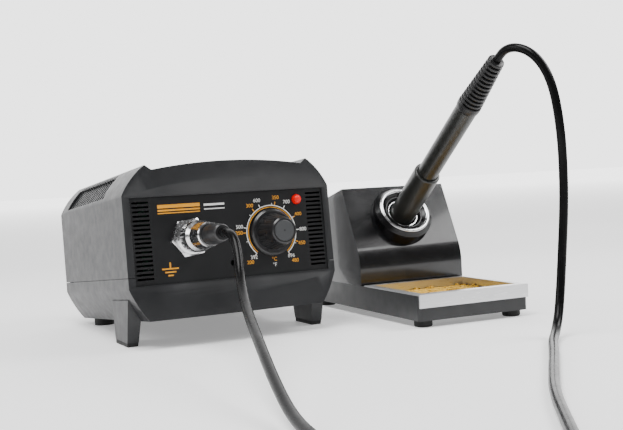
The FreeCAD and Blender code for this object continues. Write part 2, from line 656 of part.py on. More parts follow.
def transformer():
    x, y = CORE_AT
    width, stack, height = CORE
    low = CASE_BOTTOM + WALL + BOSS_HEIGHT
    window, tall = CORE_WINDOW
    block = box((x - width / 2, x + width / 2), (y - stack / 2, y + stack / 2),
                (low, low + height))
    middle = low + height / 2
    windows = []
    for side in (-1, 1):
        inner = x + side * CORE_LEG / 2
        edges = sorted((inner, inner + side * window))
        windows.append(box(edges, (y - stack, y + stack), (middle - tall / 2, middle + tall / 2)))
    export(placed(block.cut(Part.makeCompound(windows)), UNIT), "transformer_core")
    reach_x = CORE_LEG / 2 + window - 0.3
    reach_y = stack / 2 + 9
    coil = box((x - reach_x, x + reach_x), (y - reach_y, y + reach_y),
               (middle - tall / 2 + 0.3, middle + tall / 2 - 0.3))
    hole = box((x - CORE_LEG / 2 - 0.1, x + CORE_LEG / 2 + 0.1),
               (y - stack / 2 - 0.1, y + stack / 2 + 0.1), (low, low + height))
    export(placed(coil.cut(hole), UNIT), "transformer_coil")
    sheet = BRACKET_SHEET
    half = width / 2
    strap_y = (y - stack / 2 + 2, y + stack / 2 - 2)
    strap = [box((x - half - sheet, x + half + sheet), strap_y, (low + height, low + height + sheet))]
    for side in (-1, 1):
        edge = x + side * half
        strap.append(box(sorted((edge, edge + side * sheet)), strap_y, (low, low + height)))
        foot = sorted((edge, edge + side * (sheet + BRACKET_TAB)))
        strap.append(box(foot, strap_y, (low, low + sheet)))
    bracket = fuse_all(strap)
    for px, py in core_feet():
        bracket = bracket.cut(rod(CORE_SCREW_RADIUS + CLEARANCE, (px, py, low - 1),
                                  (px, py, low + sheet + 1)))
    export(placed(bracket, UNIT), "transformer_bracket")
    screws = [screw(CORE_SCREW_RADIUS, sheet + BOSS_HEIGHT + 1.0, (px, py, low + sheet),
                    (0, 0, -1)) for px, py in core_feet()]
    export(placed(Part.makeCompound(screws), UNIT), "transformer_screws")


# ---------------------------------------------------------------- back of the control unit

def centred_block(at, size, y):
    return box((at[0] - size[0] / 2, at[0] + size[0] / 2), y,
               (at[1] - size[1] / 2, at[1] + size[1] / 2))


def rear_panel():
    y = (CASE_DEPTH - REAR_PANEL_THICKNESS - 0.8, CASE_DEPTH - 0.8)
    panel = cavity(0, y)
    deep = (y[0] - 1, y[1] + 1)
    panel = panel.cut(centred_block(INLET_AT, [size + 0.4 for size in INLET_BODY], deep))
    panel = panel.cut(centred_block(SWITCH_AT, [size + 0.4 for size in SWITCH_BODY], deep))
    panel = panel.cut(rod(FUSE_RADIUS + CLEARANCE, (FUSE_AT[0], deep[0], FUSE_AT[1]),
                          (FUSE_AT[0], deep[1], FUSE_AT[1])))
    for side in (-1, 1):
        x = INLET_AT[0] + side * INLET_SCREW_PITCH / 2
        panel = panel.cut(rod(1.6, (x, deep[0], INLET_AT[1]), (x, deep[1], INLET_AT[1])))
    export(placed(panel, UNIT), "rear_panel")


def power_inlet():
    face = CASE_DEPTH - 0.8
    outside = face + INLET_FLANGE[2]
    flange = centred_block(INLET_AT, INLET_FLANGE, (face, outside))
    body = centred_block(INLET_AT, INLET_BODY, (face - INLET_BODY[2], face + 0.5))
    space = centred_block(INLET_AT, INLET_CAVITY, (outside - INLET_CAVITY[2], outside + 1))
    inlet = flange.fuse(body).cut(space)
    for side in (-1, 1):
        x = INLET_AT[0] + side * INLET_SCREW_PITCH / 2
        inlet = inlet.cut(rod(1.6, (x, face - 1, INLET_AT[1]), (x, outside + 1, INLET_AT[1])))
    blades = [box((INLET_AT[0] + dx - 1, INLET_AT[0] + dx + 1),
                  (face - INLET_BODY[2] - 5, outside - 5), (z - 2, z + 2))
              for dx, z in ((-7, INLET_AT[1] - 1.5), (0, INLET_AT[1] + 2.5), (7, INLET_AT[1] - 1.5))]
    inlet = inlet.cut(Part.makeCompound(blades)).removeSplitter()
    export(placed(inlet, UNIT), "power_inlet")
    export(placed(Part.makeCompound(blades), UNIT), "inlet_blades")
    screws = [screw(1.5, 7.0, (INLET_AT[0] + side * INLET_SCREW_PITCH / 2, outside, INLET_AT[1]),
                    (0, -1, 0)) for side in (-1, 1)]
    export(placed(Part.makeCompound(screws), UNIT), "inlet_screws")


def power_switch():
    x, z = SWITCH_AT
    face = CASE_DEPTH - 0.8
    outside = face + SWITCH_FRAME[2]
    frame = centred_block(SWITCH_AT, SWITCH_FRAME, (face, outside))
    frame = frame.fuse(centred_block(SWITCH_AT, SWITCH_BODY, (face - SWITCH_BODY[2], face + 0.5)))
    opening = (ROCKER[0] + 0.5, ROCKER[1] + 0.9)
    frame = frame.cut(centred_block(SWITCH_AT, opening, (face - 7.5, outside + 1)))
    half = ROCKER[0] / 2
    pivot_y = outside - 2.2
    frame = frame.cut(rod(1.0 + RUNNING, (x - half - 0.9, pivot_y, z),
                          (x + half + 0.9, pivot_y, z)))
    export(placed(frame.removeSplitter(), UNIT), "switch_frame")
    tall = ROCKER[1] / 2
    outline = [(pivot_y + 4.4, z - tall + 0.6), (pivot_y + 2.6, z), (pivot_y + 4.4, z + tall - 0.6),
               (pivot_y + 2.8, z + tall - 0.2), (pivot_y - 4.0, z + tall - 3.4),
               (pivot_y - 4.0, z - tall + 3.4), (pivot_y + 2.8, z - tall + 0.2)]
    rocker = prism_along_x(outline, (x - half, x + half))
    rocker = rocker.fuse(rod(1.0, (x - half - 0.7, pivot_y, z), (x + half + 0.7, pivot_y, z)))
    rocker = rocker.removeSplitter().rotated(V(x, pivot_y, z), V(1, 0, 0), -ROCKER_TILT)
    export(placed(rocker, UNIT), "switch_rocker")


def fuse_holder():
    x, z = FUSE_AT
    face = CASE_DEPTH - 0.8
    body = fuse_all([rod(FUSE_RADIUS, (x, face - FUSE_LENGTH, z), (x, face + 0.5, z)),
                     rod(FUSE_CAP_RADIUS, (x, face, z), (x, face + 1.8, z))])
    body = body.cut(rod(3.4, (x, face - FUSE_LENGTH + 1.5, z), (x, face + 3, z)))
    export(placed(body, UNIT), "fuse_holder")
    cap = fuse_all([rod(FUSE_CAP_RADIUS - 0.6, (x, face + 1.8, z), (x, face + 6.5, z)),
                    rod(3.3, (x, face - 4, z), (x, face + 2, z))])
    cap = cap.cut(box((x - 5, x + 5), (face + 5.4, face + 7), (z - 0.7, z + 0.7)))
    export(placed(cap, UNIT), "fuse_cap")


# ---------------------------------------------------------------- stand

def stand_base():
    half = STAND_WIDTH / 2
    outer = box((-half, half), (0, STAND_DEPTH), (BASE_BOTTOM, BASE_TOP))
    upright = [edge for edge in outer.Edges
               if abs(edge.Vertexes[0].Z - edge.Vertexes[1].Z) > 1]
    outer = outer.makeFillet(2.5, upright)
    inner = box((-half + BASE_WALL, half - BASE_WALL), (BASE_WALL, STAND_DEPTH - BASE_WALL),
                (BASE_BOTTOM + BASE_WALL, BASE_TOP - BASE_WALL))
    under = box((-half + BASE_FLANGE, half - BASE_FLANGE),
                (BASE_FLANGE, STAND_DEPTH - BASE_FLANGE), (BASE_BOTTOM - 1, BASE_BOTTOM + BASE_WALL + 1))
    pan_half, pan_front, pan_back = TRAY_PAN
    grow = TRAY_CLEARANCE
    mouth = box((-pan_half - grow, pan_half + grow), (pan_front - grow, pan_back + grow),
                (BASE_TOP - BASE_WALL - 1, BASE_TOP + 1))
    base = outer.cut(inner).cut(under).cut(mouth)
    for x, y in hood_screws():
        base = base.cut(rod(HOOD_SCREW_RADIUS + CLEARANCE, (x, y, BASE_TOP - 3),
                            (x, y, BASE_TOP + 1)))
    export(placed(base, STAND), "stand_base")
    x, front, back = FOOT_AT
    feet = [turned([(0, 0), (0, FOOT_RADIUS - 0.5), (0.6, FOOT_RADIUS), (BASE_BOTTOM, FOOT_RADIUS),
                    (BASE_BOTTOM, 0)], (side * x, y, 0))
            for side in (-1, 1) for y in (front, back)]
    export(placed(Part.makeCompound(feet), STAND), "stand_feet")


def hood_profile(inset):
    """Outer line of the hood's front and roof in the YZ plane, moved in by inset."""
    slope = math.radians(HOOD_SLOPE)
    roof = math.radians(HOOD_ROOF_SLOPE)
    low, high = HOOD_BEND_Z
    bend_radius = (high - low) / math.sin(slope)
    peak_y = hood_front_y(HOOD_PEAK_Z)
    centre = V(0, HOOD_FRONT_Y + bend_radius, low)
    radius = bend_radius - inset
    on_bend = [centre + V(0, -math.cos(slope * step), math.sin(slope * step)) * radius
               for step in (0, 0.5, 1)]
    peak_shift = inset * math.tan((math.pi / 2 - slope + roof) / 2)
    face_dir = V(0, math.sin(slope), math.cos(slope))
    face_in = V(0, math.cos(slope), -math.sin(slope))
    peak = V(0, peak_y, HOOD_PEAK_Z) + face_in * inset - face_dir * peak_shift
    roof_dir = V(0, math.cos(roof), -math.sin(roof))
    end = peak + roof_dir * ((HOOD_BACK_Y - peak.y) / roof_dir.y)
    start = V(0, HOOD_FRONT_Y + inset, BASE_TOP)
    return start, on_bend, peak, end


def hood_face(inset):
    start, bend, peak, end = hood_profile(inset)
    edges = [Part.makeLine(start, bend[0]), Part.Arc(*bend).toShape(),
             Part.makeLine(bend[2], peak), Part.makeLine(peak, end),
             Part.makeLine(end, V(0, HOOD_BACK_Y, BASE_TOP)),
             Part.makeLine(V(0, HOOD_BACK_Y, BASE_TOP), start)]
    return Part.Face(Part.Wire(edges))


def hood_screws():
    x = STAND_WIDTH / 2 - HOOD_SHEET - HOOD_TAB / 2
    return [(side * x, y) for side in (-1, 1) for y in (HOOD_FRONT_Y + 12, HOOD_BACK_Y - 12)]


def stand_hood():
    """Bent sheet: front, roof and two cheeks, open at the back, with tabs screwed to the base."""
    half = STAND_WIDTH / 2
    inner_half = half - HOOD_SHEET
    outer = hood_face(0).extrude(V(2 * half, 0, 0)).translated(V(-half, 0, 0))
    inner = hood_face(HOOD_SHEET).extrude(V(2 * inner_half, 0, 0))
    inner = inner.translated(V(-inner_half, 0, 0))
    back = box((-inner_half, inner_half), (HOOD_BACK_Y - 2, HOOD_BACK_Y + 1),
               (BASE_TOP - 1, HOOD_PEAK_Z - (HOOD_BACK_Y - HOOD_FRONT_Y) / 2))
    hood = outer.cut(inner).cut(back)
    tabs = []
    for side in (-1, 1):
        x = sorted((side * inner_half, side * (inner_half - HOOD_TAB)))
        tabs.append(box(x, (HOOD_FRONT_Y + HOOD_SHEET, HOOD_BACK_Y),
                        (BASE_TOP, BASE_TOP + HOOD_SHEET)))
    hood = fuse_all([hood] + tabs)
    for x, y in hood_screws():
        hood = hood.cut(rod(HOOD_SCREW_RADIUS + CLEARANCE, (x, y, BASE_TOP - 1),
                            (x, y, BASE_TOP + 3)))
    hole = placed(rod(SPIGOT_RADIUS + CLEARANCE, (0, 0, -20), (0, 0, 20)),
                  STAND.inverse().multiply(IRON))
    export(placed(hood.cut(hole), STAND), "stand_hood")
    screws = [screw(HOOD_SCREW_RADIUS, 6.0, (x, y, BASE_TOP + HOOD_SHEET), (0, 0, -1))
              for x, y in hood_screws()]
    export(placed(Part.makeCompound(screws), STAND), "hood_screws")


def sponge_tray():
    """Pressed tray: a flat rim, a pan that hangs in the base and a lip over the front edge."""
    half = STAND_WIDTH / 2
    pan_half, pan_front, pan_back = TRAY_PAN
    top = BASE_TOP + TRAY_SHEET
    floor = BASE_TOP - TRAY_PAN_DEPTH
    rim = box((-half, half), (-0.2 - TRAY_SHEET, TRAY_DEPTH_Y), (BASE_TOP, top))
    lip = box((-half, half), (-0.2 - TRAY_SHEET, -0.2), (top - TRAY_LIP, top))
    pan = box((-pan_half, pan_half), (pan_front, pan_back), (floor, top))
    space = box((-pan_half + TRAY_SHEET, pan_half - TRAY_SHEET),
                (pan_front + TRAY_SHEET, pan_back - TRAY_SHEET), (floor + TRAY_SHEET, top + 1))
    tray = fuse_all([rim, lip, pan]).cut(space)
    export(placed(tray, STAND), "sponge_tray")


def sponge():
    pan_half, pan_front, pan_back = TRAY_PAN
    inset = TRAY_SHEET + SPONGE_CLEARANCE
    floor = BASE_TOP - TRAY_PAN_DEPTH + TRAY_SHEET
    pad = box((-pan_half + inset, pan_half - inset), (pan_front + inset, pan_back - inset),
              (floor, floor + SPONGE_HEIGHT))
    x, y, radius = SPONGE_HOLE
    pad = pad.cut(rod(radius, (x, y, floor - 1), (x, y, BASE_TOP)))
    upright = [edge for edge in pad.Edges if len(edge.Vertexes) == 2
               and abs(edge.Vertexes[0].Z - edge.Vertexes[1].Z) > 1
               and edge.Curve.TypeId == "Part::GeomLine" and abs(edge.Vertexes[0].X) > pan_half / 2
               and edge.Vertexes[0].Point.distanceToPoint(V(x, y, floor)) > 2 * radius]
    export(placed(pad.makeFillet(2.0, upright), STAND), "sponge")


# ---------------------------------------------------------------- iron holder and iron

def half_space(depth):
    """Everything behind the plane of the hood's sloped front, depth inside its outer face."""
    block = box((-60, 60), (depth, 120), (-80, 80))
    tilt = FreeCAD.Rotation(V(1, 0, 0), -HOOD_SLOPE)
    stand_place = FreeCAD.Placement(V(0, IRON_Y, IRON_Z), tilt)
    return placed(block, IRON.inverse().multiply(STAND.multiply(stand_place)))


def iron_holder():
    front = RING_FRONT
    outer = RING_RADIUS
    flange = turned([(-12, SPIGOT_RADIUS - 1), (-12, outer), (front - 3.2, outer), (front, outer - 3.2),
                     (front - 0.5, outer - 3.8), (front - 3.4, outer - 7.0),
                     (front - 2.4, outer - 7.6), (front - 2.4, outer - 8.3),
                     (2.0, HOLDER_BORE + RUNNING), (-1.0, HOLDER_BORE + RUNNING)])
    flange = flange.cut(half_space(0.0))
    spigot = turned([(-15, SHOULDER_BORE), (-15, SPIGOT_RADIUS), (1.5, SPIGOT_RADIUS),
                     (1.5, HOLDER_BORE + RUNNING), (SHOULDER_S, HOLDER_BORE + RUNNING),
                     (SHOULDER_S, SHOULDER_BORE)])
    export(placed(fuse_all([flange, spigot]), IRON), "holder_ring")
    nut = turned([(-11.5, SPIGOT_RADIUS + RUNNING), (-11.5, SPIGOT_RADIUS + 4),
                  (4, SPIGOT_RADIUS + 4), (4, SPIGOT_RADIUS + RUNNING)])
    export(placed(nut.common(half_space(HOOD_SHEET)), IRON), "holder_nut")
    inner = SPIGOT_RADIUS + RUNNING
    guard = turned([(GUARD_END, inner), (GUARD_END, inner + GUARD_SHEET),
                    (-11.6, inner + GUARD_SHEET), (-11.6, inner)])
    slots = []
    for row in range(3):
        for index in range(8):
            angle = math.radians(45 * index + 22.5 * (row % 2))
            side = (18 * math.cos(angle), 18 * math.sin(angle), -19.0 - 8.0 * row)
            slots.append(rod(2.2, (0, 0, side[2]), side))
    export(placed(guard.cut(Part.makeCompound(slots)), IRON), "guard_tube")


def iron():
    grip_front = SHOULDER_S + 0.05
    handle = turned([(3, HANDLE_BORE), (3, HANDLE_RADIUS), (HANDLE_END, HANDLE_RADIUS),
                     (HANDLE_END, HANDLE_BORE)])
    export(placed(handle, IRON), "handle_tube")
    grip = turned([(grip_front, HANDLE_BORE), (grip_front, SLEEVE_RADIUS - 0.6),
                   (grip_front + 1, SLEEVE_RADIUS), (GRIP_END - 0.8, SLEEVE_RADIUS),
                   (GRIP_END, SLEEVE_RADIUS - 0.6), (GRIP_END, HANDLE_RADIUS),
                   (3, HANDLE_RADIUS), (3, HANDLE_BORE)])
    export(placed(grip, IRON), "grip_sleeve")
    big, small = BOOT_RADII
    length = BOOT_END - HANDLE_END
    profile = [(HANDLE_END - 8, 0), (HANDLE_END - 8, HANDLE_BORE), (HANDLE_END, HANDLE_BORE),
               (HANDLE_END, HANDLE_RADIUS + 0.3), (HANDLE_END + 4, big)]
    rib = (length - 6) / BOOT_RIBS
    for index in range(BOOT_RIBS):
        start = HANDLE_END + 4 + index * rib
        radius = big + (small - big) * (index + 1) / BOOT_RIBS
        profile += [(start + rib * 0.15, radius - 1.1), (start + rib * 0.45, radius - 1.1),
                    (start + rib * 0.6, radius), (start + rib * 0.98, radius)]
    profile += [(BOOT_END, small - 0.3), (BOOT_END, 0)]
    export(placed(turned(profile), IRON), "cable_boot")
    nut = turned([(-14, BARREL_RADIUS + RUNNING), (-14, NUT_RADIUS - 1.4), (-12, NUT_RADIUS),
                  (SHOULDER_S, NUT_RADIUS), (SHOULDER_S, HANDLE_BORE - RUNNING),
                  (14, HANDLE_BORE - RUNNING), (14, BARREL_RADIUS + RUNNING)])
    export(placed(nut, IRON), "barrel_nut")
    barrel = turned([(BARREL_END, BARREL_BORE), (BARREL_END, BARREL_RADIUS),
                     (12, BARREL_RADIUS), (12, BARREL_BORE)])
    export(placed(barrel, IRON), "barrel")
    heater = turned([(BARREL_END + 3, 0), (BARREL_END + 3, HEATER_RADIUS), (40, HEATER_RADIUS),
                     (40, 0)])
    export(placed(heater, IRON), "heating_element")
    tip = turned([(BARREL_END + 14, HEATER_RADIUS + RUNNING), (BARREL_END + 14, TIP_SHANK_RADIUS),
                  (BARREL_END, TIP_SHANK_RADIUS), (BARREL_END, BARREL_RADIUS - 0.2),
                  (BARREL_END - 4, BARREL_RADIUS - 0.4), (BARREL_END - 7, 2.2), (TIP_END, 0.4),
                  (TIP_END, 0), (BARREL_END + 2.9, 0), (BARREL_END + 2.9, HEATER_RADIUS + RUNNING)])
    export(placed(tip, IRON), "tip")


# ---------------------------------------------------------------- lead of the iron

def cord_tube(route, name):
    """Tube along straight runs joined by tangent arcs, each as large as its two runs allow."""
    points = [V(*point) for point in route]
    edges = []
    last = points[0]
    length = 0.0
    radii = []
    for index in range(1, len(points) - 1):
        before, here, after = points[index - 1:index + 2]
        into = (here - before).normalize()
        out = (after - here).normalize()
        half_turn = into.getAngle(out) / 2
        cut = 0.45 * min((here - before).Length, (after - here).Length)
        radii.append(cut / math.tan(half_turn))
        start, end = here - into * cut, here + out * cut
        to_centre = (out - into).normalize()
        middle = here + to_centre * (radii[-1] / math.cos(half_turn) - radii[-1])
        edges.append(Part.LineSegment(last, start).toShape())
        edges.append(Part.Arc(start, middle, end).toShape())
        length += (start - last).Length + 2 * half_turn * radii[-1]
        last = end
    edges.append(Part.LineSegment(last, points[-1]).toShape())
    length += (points[-1] - last).Length
    circle = Part.Wire(Part.makeCircle(CORD_RADIUS, points[0], points[1] - points[0]))
    solid = Part.Wire(edges).makePipeShell([circle], True, False)
    expected = math.pi * CORD_RADIUS ** 2 * length
    print(f"{name}: length {length:.0f}, volume/expected {solid.Volume / expected:.4f}, "
          f"radii {' '.join(f'{radius:.0f}' for radius in radii)}")
    return solid


def iron_lead():
    export(cord_tube(UNIT_SIDE_ROUTE, "cord_unit_side"), "cord_unit_side")
    export(cord_tube(IRON_SIDE_ROUTE, "cord_iron_side"), "cord_iron_side")
    x, y = COIL_CENTRE
    inner, outer = COIL_RADII
    export(tube(outer, inner, (x, y, 0), (x, y, COIL_HEIGHT)), "cord_coil")


case_parts(case_shell())
front_panel()
led()
potentiometer()
knob()
circuit_board()
calibration_trimmer()
board_parts()
socket()
plug()
transformer()
rear_panel()
power_inlet()
power_switch()
fuse_holder()
stand_base()
stand_hood()
sponge_tray()
sponge()
iron_holder()
iron()
iron_lead()
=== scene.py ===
"""Looks of a bench soldering station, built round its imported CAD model.

The control unit stands on the left, pitched nose up; the stand with the iron is on the right.
Everything is in metres in the model's frame. A few sizes are kept in millimetres (MM) where
they belong to a piece's own frame: UNIT, STAND and IRON place those frames.
"""
import json
import math

import bmesh
import bpy
from mathutils import Matrix, Vector, noise


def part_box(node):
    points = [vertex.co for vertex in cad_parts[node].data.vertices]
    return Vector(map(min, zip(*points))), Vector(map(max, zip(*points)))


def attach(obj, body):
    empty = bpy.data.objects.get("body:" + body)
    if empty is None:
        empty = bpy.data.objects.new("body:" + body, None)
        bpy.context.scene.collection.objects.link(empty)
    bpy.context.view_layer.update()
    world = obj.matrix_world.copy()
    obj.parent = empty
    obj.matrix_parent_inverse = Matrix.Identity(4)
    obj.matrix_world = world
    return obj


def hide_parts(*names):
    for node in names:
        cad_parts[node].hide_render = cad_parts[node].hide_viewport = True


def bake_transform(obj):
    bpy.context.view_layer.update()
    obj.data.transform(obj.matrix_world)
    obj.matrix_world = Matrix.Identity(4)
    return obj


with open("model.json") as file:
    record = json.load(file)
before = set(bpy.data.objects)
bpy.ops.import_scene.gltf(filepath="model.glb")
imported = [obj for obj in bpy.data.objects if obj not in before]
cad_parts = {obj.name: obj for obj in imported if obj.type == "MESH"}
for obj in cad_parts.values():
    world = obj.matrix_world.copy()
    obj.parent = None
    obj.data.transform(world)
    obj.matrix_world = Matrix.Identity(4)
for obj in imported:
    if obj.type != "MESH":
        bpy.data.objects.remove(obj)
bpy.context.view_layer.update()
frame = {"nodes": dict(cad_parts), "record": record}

MM = 0.001

# Places of the unit, the stand and the iron, as in the CAD model, in millimetres and degrees
UNIT_AT = (-57.8, -39.15)
UNIT_PITCH = 5.15
STAND_AT = (77.8, -81.25)
STAND_YAW = -2.4
IRON_CROSSING = (85.837, 62.4)     # y and z in the stand's frame
IRON_ANGLE = 37.6

# Camera, in metres and degrees, with its lens in millimetres
CAMERA_AT = (-0.2893, -0.59415, 0.0964)
CAMERA_AZIMUTH = -26.83
CAMERA_ELEVATION = 2.46
CAMERA_ROLL = 2.77
CAMERA_LENS = 59.8

# Lead of the iron: its unit and iron sides are listed routes, joined by the coil's turns
CORD_RADIUS = 0.0025
UNIT_SIDE_ROUTE = [
    (-0.0848, -0.0850, 0.0660), (-0.0849, -0.0933, 0.0668), (-0.0855, -0.1025, 0.0634),
    (-0.0871, -0.1101, 0.0548), (-0.0913, -0.1211, 0.0436), (-0.0994, -0.1461, 0.0326),
    (-0.1105, -0.1837, 0.0236), (-0.1205, -0.2211, 0.0126), (-0.1278, -0.2531, 0.0046),
    (-0.1313, -0.2830, 0.0027), (-0.1321, -0.3000, 0.0048),
]
OVER_THE_TURNS = [
    (-0.1325, -0.3130, 0.0073), (-0.1328, -0.3235, 0.0080), (-0.1334, -0.3320, 0.0079),
    (-0.1338, -0.3395, 0.0076), (-0.1336, -0.3460, 0.0048),
]
COIL_CENTRE = (-0.112, -0.350)
COIL_START = 184.0                 # degrees
COIL_SWEEP = 866.0                 # all its turns, in degrees
COIL_STEP = 24.0
COIL_INNER = 0.021                 # radius of the innermost turn's start
COIL_PITCH = 0.0053                # from one turn to the next
IRON_SIDE_ROUTE = [
    (-0.0719, -0.3451, 0.0025), (-0.0459, -0.3071, 0.0025), (-0.0179, -0.2671, 0.0025),
    (0.0091, -0.2346, 0.0025), (0.0401, -0.1981, 0.0025), (0.0577, -0.1761, 0.0025),
    (0.0711, -0.1625, 0.0036), (0.0795, -0.1555, 0.0110), (0.0847, -0.1517, 0.0240),
    (0.0877, -0.1507, 0.0440), (0.0901, -0.1511, 0.0720), (0.0903, -0.1513, 0.0960),
    (0.0888, -0.1519, 0.1134), (0.0875, -0.1501, 0.1312), (0.0856, -0.1472, 0.1427),
    (0.0831, -0.1432, 0.1509), (0.0804, -0.1379, 0.1564), (0.0780, -0.1315, 0.1593),
    (0.0766, -0.1248, 0.1596), (0.0762, -0.1191, 0.15765), (0.0764, -0.1145, 0.1541),
]

FACING_FRONT = Matrix.Rotation(math.radians(90), 4, "X")       # turns Z to the front
FACING_BACK = Matrix.Rotation(math.radians(-90), 4, "X")
WELD_WITHIN = 1e-6                 # metres
SHARP_ABOVE = 35.0                 # degrees between two faces of a new piece


# ---------------------------------------------------------------- frames and small helpers

def flat_frame(at, turn_degrees, axis):
    return (Matrix.Translation(Vector((at[0], at[1], 0)) * MM)
            @ Matrix.Rotation(math.radians(turn_degrees), 4, axis))


UNIT = flat_frame(UNIT_AT, -UNIT_PITCH, "X")
STAND = flat_frame(STAND_AT, STAND_YAW, "Z")
IRON = (STAND @ Matrix.Translation(Vector((0, *IRON_CROSSING)) * MM)
        @ Matrix.Rotation(math.radians(90 - IRON_ANGLE), 4, "X"))


def link(name, data):
    piece = bpy.data.objects.new(name, data)
    bpy.context.scene.collection.objects.link(piece)
    return piece


def give_material(piece, material):
    piece.data.materials.clear()
    piece.data.materials.append(material)


def shade(mesh, smooth=True):
    for face in mesh.polygons:
        face.use_smooth = smooth


def evaluated_mesh(carrier):
    """New mesh of an object with its curve or modifiers worked out."""
    bpy.context.view_layer.update()
    return bpy.data.meshes.new_from_object(carrier.evaluated_get(
        bpy.context.evaluated_depsgraph_get()))


def mesh_of_curve(curve):
    """New mesh of a curve or text, which isn't kept."""
    carrier = link(curve.name, curve)
    mesh = evaluated_mesh(carrier)
    bpy.data.objects.remove(carrier)
    bpy.data.curves.remove(curve)
    return mesh


def finish_piece(piece, material, body):
    """Gives a new piece its material and its body."""
    give_material(piece, material)
    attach(piece, body)
    return piece


def piece_from(bm, name, place, material, body, smooth=True):
    """New piece from a bmesh in millimetres of the frame given by place."""
    bmesh.ops.recalc_face_normals(bm, faces=bm.faces[:])
    mesh = bpy.data.meshes.new(name)
    bm.to_mesh(mesh)
    bm.free()
    mesh.transform(place @ Matrix.Scale(MM, 4))
    shade(mesh, smooth)
    if smooth:
        mesh.set_sharp_from_angle(angle=math.radians(SHARP_ABOVE))
    return finish_piece(link(name, mesh), material, body)


def add_lathe(bm, profile, segments=64, axis_frame=Matrix.Identity(4)):
    """Closed solid of revolution about Z from (distance, radius) points; radius 0 ends in a point."""
    loops = []
    for distance, radius in profile:
        if radius == 0:
            loops.append([bm.verts.new(axis_frame @ Vector((0, 0, distance)))])
            continue
        loops.append([bm.verts.new(axis_frame @ Vector((
            radius * math.cos(2 * math.pi * step / segments),
            radius * math.sin(2 * math.pi * step / segments), distance)))
            for step in range(segments)])
    closed = profile[0][1] > 0 or profile[-1][1] > 0
    pairs = list(zip(loops, loops[1:])) + ([(loops[-1], loops[0])] if closed else [])
    for low, high in pairs:
        for step in range(segments):
            after = (step + 1) % segments
            corners = [low[step % len(low)], low[after % len(low)],
                       high[after % len(high)], high[step % len(high)]]
            corners = list(dict.fromkeys(corners))
            if len(corners) > 2:
                bm.faces.new(corners)


def add_block(bm, x, y, z):
    """Block between three (low, high) pairs."""
    made = bmesh.ops.create_cube(bm, size=1.0)["verts"]
    for vert in made:
        vert.co = Vector([low + (high - low) * (c + 0.5)
                          for c, (low, high) in zip(vert.co, (x, y, z))])
    return made


# ---------------------------------------------------------------- camera and lead

def make_camera():
    azimuth = math.radians(CAMERA_AZIMUTH)
    elevation = math.radians(CAMERA_ELEVATION)
    roll = math.radians(CAMERA_ROLL)
    back = Vector((math.sin(azimuth) * math.cos(elevation),
                   -math.cos(azimuth) * math.cos(elevation), math.sin(elevation)))
    level = Vector((math.cos(azimuth), math.sin(azimuth), 0))
    upright = back.cross(level)
    right = level * math.cos(roll) - upright * math.sin(roll)
    up = level * math.sin(roll) + upright * math.cos(roll)
    camera = link("camera", bpy.data.cameras.new("camera"))
    camera.matrix_world = Matrix.Translation(CAMERA_AT) @ Matrix((right, up, back)).transposed().to_4x4()
    camera.data.lens = CAMERA_LENS
    camera.data.clip_start = 0.01
    camera.data.clip_end = 50
    bpy.context.scene.camera = camera


def coil_route():
    """The put-away length: a flat spiral that opens outwards on the bench."""
    route = []
    steps = round(COIL_SWEEP / COIL_STEP)
    for step in range(steps + 1):
        turned = COIL_SWEEP * step / steps
        angle = math.radians(COIL_START + turned)
        radius = COIL_INNER + COIL_PITCH * turned / 360
        route.append((COIL_CENTRE[0] + radius * math.cos(angle),
                      COIL_CENTRE[1] + radius * math.sin(angle), CORD_RADIUS))
    return route


def spline_mesh(name, route, radius):
    """Mesh of a NURBS curve through control points: a bare line if the radius is 0."""
    curve = bpy.data.curves.new(name, "CURVE")
    curve.dimensions = "3D"
    curve.bevel_depth = radius
    curve.bevel_resolution = 6
    curve.resolution_u = 8
    curve.use_fill_caps = radius > 0
    spline = curve.splines.new("NURBS")
    spline.points.add(len(route) - 1)
    for control, place in zip(spline.points, route):
        control.co = (*place, 1)
    spline.order_u = 3
    spline.use_endpoint_u = True
    return mesh_of_curve(curve)


def make_cord(material):
    """Lead from the plug, past the coil and up to the iron."""
    route = UNIT_SIDE_ROUTE + OVER_THE_TURNS + coil_route() + IRON_SIDE_ROUTE
    line = spline_mesh("cord_line", route, 0)
    mesh = spline_mesh("iron_cord", route, CORD_RADIUS)
    shade(mesh)
    cord = link("iron_cord", mesh)
    give_material(cord, material)
    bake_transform(cord)
    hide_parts("cord_unit_side", "cord_coil", "cord_iron_side")


# ---------------------------------------------------------------- materials

DIM_ROOM = 0.12
BRIGHT_WALL = 3.0
WALL_EDGE = (0.4, 0.9)             # cosine of the angle to its middle where it starts and is full
FLOOR_GLOW = (0.32, 2.8)           # near the object and at the wall
FLOOR_GLOW_SPAN = (0.5, 3.5)       # metres towards the wall over which it rises


def towards_wall():
    """Level direction from the object to the bright wall."""
    azimuth = math.radians(CAMERA_AZIMUTH)
    return -math.sin(azimuth), math.cos(azimuth), 0


def shader(name, colour, roughness, metallic=0.0, **sockets):
    """New material; further sockets of its shader are given by name, with _ for spaces."""
    material = bpy.data.materials.new(name)
    material.use_nodes = True
    bsdf = material.node_tree.nodes["Principled BSDF"]
    bsdf.inputs["Base Color"].default_value = (*colour, 1)
    bsdf.inputs["Roughness"].default_value = roughness
    bsdf.inputs["Metallic"].default_value = metallic
    for socket, value in sockets.items():
        bsdf.inputs[socket.replace("_", " ")].default_value = value
    return material


def bsdf_of(material):
    return material.node_tree.nodes["Principled BSDF"]


def add_node(material, kind, **inputs):
    node = material.node_tree.nodes.new(kind)
    for name, value in inputs.items():
        node.inputs[name.replace("_", " ")].default_value = value
    return node


def wire(material, source, target):
    material.node_tree.links.new(source, target)


